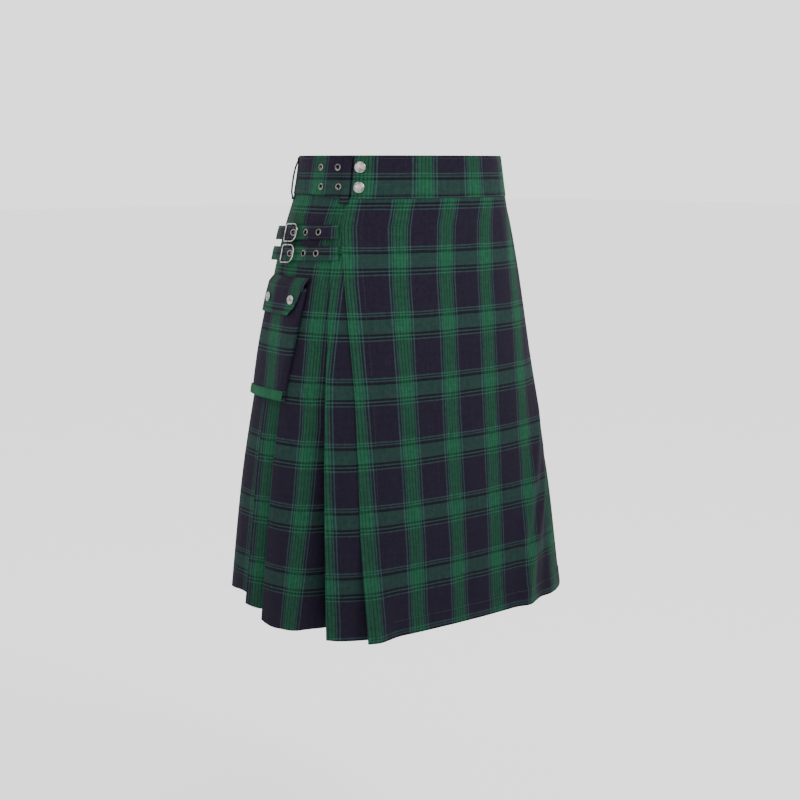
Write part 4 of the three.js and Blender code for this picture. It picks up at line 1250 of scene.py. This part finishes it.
def belt_loop(number, loop):
    base = 1 + SEAM + LOOP_WALL / 2
    width, rise, low, foot = loop["width"], loop["rise"], loop["low"], loop["foot"]
    path = np.array([(2, base), (7, base + 0.1), (15, base + rise * 0.7), (26, base + rise),
                     (38, base + rise), (low - 9, base + rise * 0.75), (low - 3, foot + 0.9),
                     (low, foot + 0.7)])
    path = rounded(refine(path, 4.0), 1)
    share = np.array([0, 0.04, 0.12, 0.22, 0.35, 0.5, 0.65, 0.78, 0.88, 0.96, 1])
    edge = np.minimum(share, 1 - share) * width
    rim = 0.42 * np.exp(-edge / 0.45) + 0.2 * np.exp(-((edge - 2.0) / 0.7) ** 2)
    # The outer side is thinned at its rims and seams.
    laps = loop["lap"] + (share - 0.5) * width
    outer, inner = [np.stack([band_point(-lap, line[:, 0], -line[:, 1] - less)
                              for lap, less in zip(laps, thin)], 1)
                    for line, thin in zip(offset_path(path * (1, -1), LOOP_WALL / 2), (rim, 0 * rim))]
    uv = cloth_map(loop["sett"] - share * width, (path[:, 0] - BAND_WEFT)[:, None])
    cloth("waist_loop_%d" % number, "belt_loop_%d" % number, outer, inner, uv, "laid", ["kilt_waistband"])


# ---------------------------------------------------------------- stitching

STITCH, STITCH_GAP, STITCH_RADIUS = 2.6, 0.9, 0.22


def stitches(name, lines):
    """Short raised threads along lines of points, each line an array of places on a cloth."""
    parts = []
    for line in lines:
        length = run_along(line)
        for start in np.arange(0.5, length[-1] - STITCH, STITCH + STITCH_GAP):
            at = start + STITCH * np.array([0, 0.5, 1])
            path = np.stack([np.interp(at, length, line[:, k]) for k in range(3)], 1)
            parts.append(tube(path, [STITCH_RADIUS * 0.5, STITCH_RADIUS, STITCH_RADIUS * 0.5], 5))
    points, faces = merge(parts)
    finish_piece(mesh_object(name, points, faces, sharp=80), thread)


def apron_seam(arc, drop, wave=0.0):
    relief = crease_relief(arc, drop, CREASES) + wave
    return skirt(arc, drop, under_out(arc) + SEAM + drape(arc, drop) + DOUBLED_WALL + relief - 0.12)


def flap_seam(across, down):
    return pocket_point(across, down, flap_out(across, down) + CLOTH_WALL - 0.1)


def all_stitches():
    arc = np.linspace(-139, 620, 900)
    low = band_low(arc * ring_length(BAND_HEIGHT) / MID_RING)
    out = band_outer(arc - BAND_OVER_END)
    side = np.linspace(4, 50, 60)
    stitches("stitching_waistband", [
        band_point(arc, low - BAND_SEAM, out + 0.02 - 0.12),
        band_point(arc, np.full_like(arc, 4.0), out + 0.05 + band_slack(arc)),
        band_point(np.full_like(side, -138.0), side, 3.62)])

    drop = drop_at(-150.0, np.linspace(0.02, 0.965, 300))
    edge = -read_table(FOLD_LINES, FREE_EDGE, drop)
    arc = np.linspace(-132, 276, 420)
    low = hem_drop(arc) - HEM_SEAM
    stitches("stitching_apron", [apron_seam(edge + inset, drop) for inset in EDGE_SEAMS]
             + [apron_seam(arc, low, hem_wave(arc, low))])

    width = POCKET["width"]
    down = np.linspace(8, FLAP_DEPTH - 4, 50)
    low = np.linspace(float(flap_front(FLAP_DEPTH)) + 4, width - 3, 90)
    top = np.linspace(4, width - 3, 90)
    across = np.linspace(2, width - 2, 90)
    band_drop = POCKET_DEPTH + SEAM - POCKET_BAND_HEIGHT + 2.6
    band_face = POCKET["stand"] + CLOTH_WALL / 2 + 0.5 + SEAM
    stitches("stitching_pocket", [
        flap_seam(flap_front(down) + FLAP_SEAM, down),
        flap_seam(np.full_like(down, width - 3.2), down),
        flap_seam(low, np.full_like(low, FLAP_DEPTH - FLAP_SEAM)),
        flap_seam(top, np.full_like(top, FLAP_TOP_SEAM)),
        pocket_point(across, np.full_like(across, band_drop), band_face + 0.4 + CLOTH_WALL)])

    lines = []
    for strap in STRAPS:
        start = float(read_table(FOLD_LINES, FREE_EDGE, strap["drop"])) + STRAP_INSET + 2
        lap = np.linspace(start, strap["tip"] - 4, 160)
        far = strap["buckle"] + 22
        height = np.array([strap_out(x, strap["buckle"]) + STRAP_WALL / 2 for x in lap])
        height += np.where(lap > far, np.interp(lap, [far, strap["tip"]], [0, 4.2]), 0)
        for part in (STRAP_SEAM, STRAP_WIDTH - STRAP_SEAM):
            lines.append(fallen_place(lap, strap["drop"], part - STRAP_WIDTH / 2, height - 0.1))
    stitches("stitching_straps", lines)


# ---------------------------------------------------------------- build

band = waistband()
over_apron()
folded_cloth("kilt_under_apron", "under_apron", under_apron_path, pleat_point, "hung")
pleats("right", 1, 4)
pleats("back", 5, 9)
pleats("left", 10, PLEAT_COUNT - 1)
pocket_body()
pocket_band()
pocket_flap()
trims(band, [strap_body(strap) for strap in STRAPS])
for number, loop in enumerate(BELT_LOOPS, 1):
    belt_loop(number, loop)
all_stitches()

# ---------------------------------------------------------------- studio

FLOOR_Z, FLOOR_SIZE = -1.06, 30.0
SKY_STRENGTH = 1.9
# The photograph's view: a square frame of 800 pixels, and a focal length of 1417.4 of them.
SENSOR, FRAME_PIXELS, FOCAL_PIXELS = 36.0, 800, 1417.4


def add_object(name, data, place=(0, 0, 0), turn=(0, 0, 0)):
    obj = bpy.data.objects.new(name, data)
    obj.location = place
    obj.rotation_euler = turn
    bpy.context.scene.collection.objects.link(obj)
    return obj


def lamp(name, place, target, size, power):
    light = bpy.data.lights.new(name, "AREA")
    light.shape = "DISK"
    light.size = size
    light.energy = power
    add_object(name, light, place, (Vector(target) - Vector(place)).to_track_quat("-Z", "Y").to_euler())


def studio():
    mesh = bpy.data.meshes.new("floor")
    corners = [(-1, -1), (1, -1), (1, 1), (-1, 1)]
    mesh.from_pydata([(x * FLOOR_SIZE, y * FLOOR_SIZE, FLOOR_Z) for x, y in corners], [], [(0, 1, 2, 3)])
    mesh.materials.append(Nodes("floor_paint").surface((0.93, 0.93, 0.93, 1), 0.9, {}))
    add_object("floor", mesh)
    world = bpy.data.worlds.new("studio_air")
    bpy.context.scene.world = world
    world.use_nodes = True
    sky = world.node_tree.nodes["Background"]
    sky.inputs[0].default_value = (1.0, 1.0, 1.0, 1)
    sky.inputs[1].default_value = SKY_STRENGTH
    lamp("key_light", (0.5, -2.1, 1.5), (0, 0, -0.1), 0.8, 37)
    lamp("fill_light", (-2.6, -0.4, 0.7), (0, 0, -0.25), 1.2, 14)


def camera():
    data = bpy.data.cameras.new("camera")
    data.sensor_width = SENSOR
    data.lens = FOCAL_PIXELS / FRAME_PIXELS * SENSOR
    azimuth, pitch = math.radians(38.53), math.radians(9.515)
    turn = (math.pi / 2 - pitch, 0, -azimuth)
    bpy.context.scene.camera = add_object("camera", data, (-1.2116, -1.5217, 0.0181), turn)


studio()
camera()
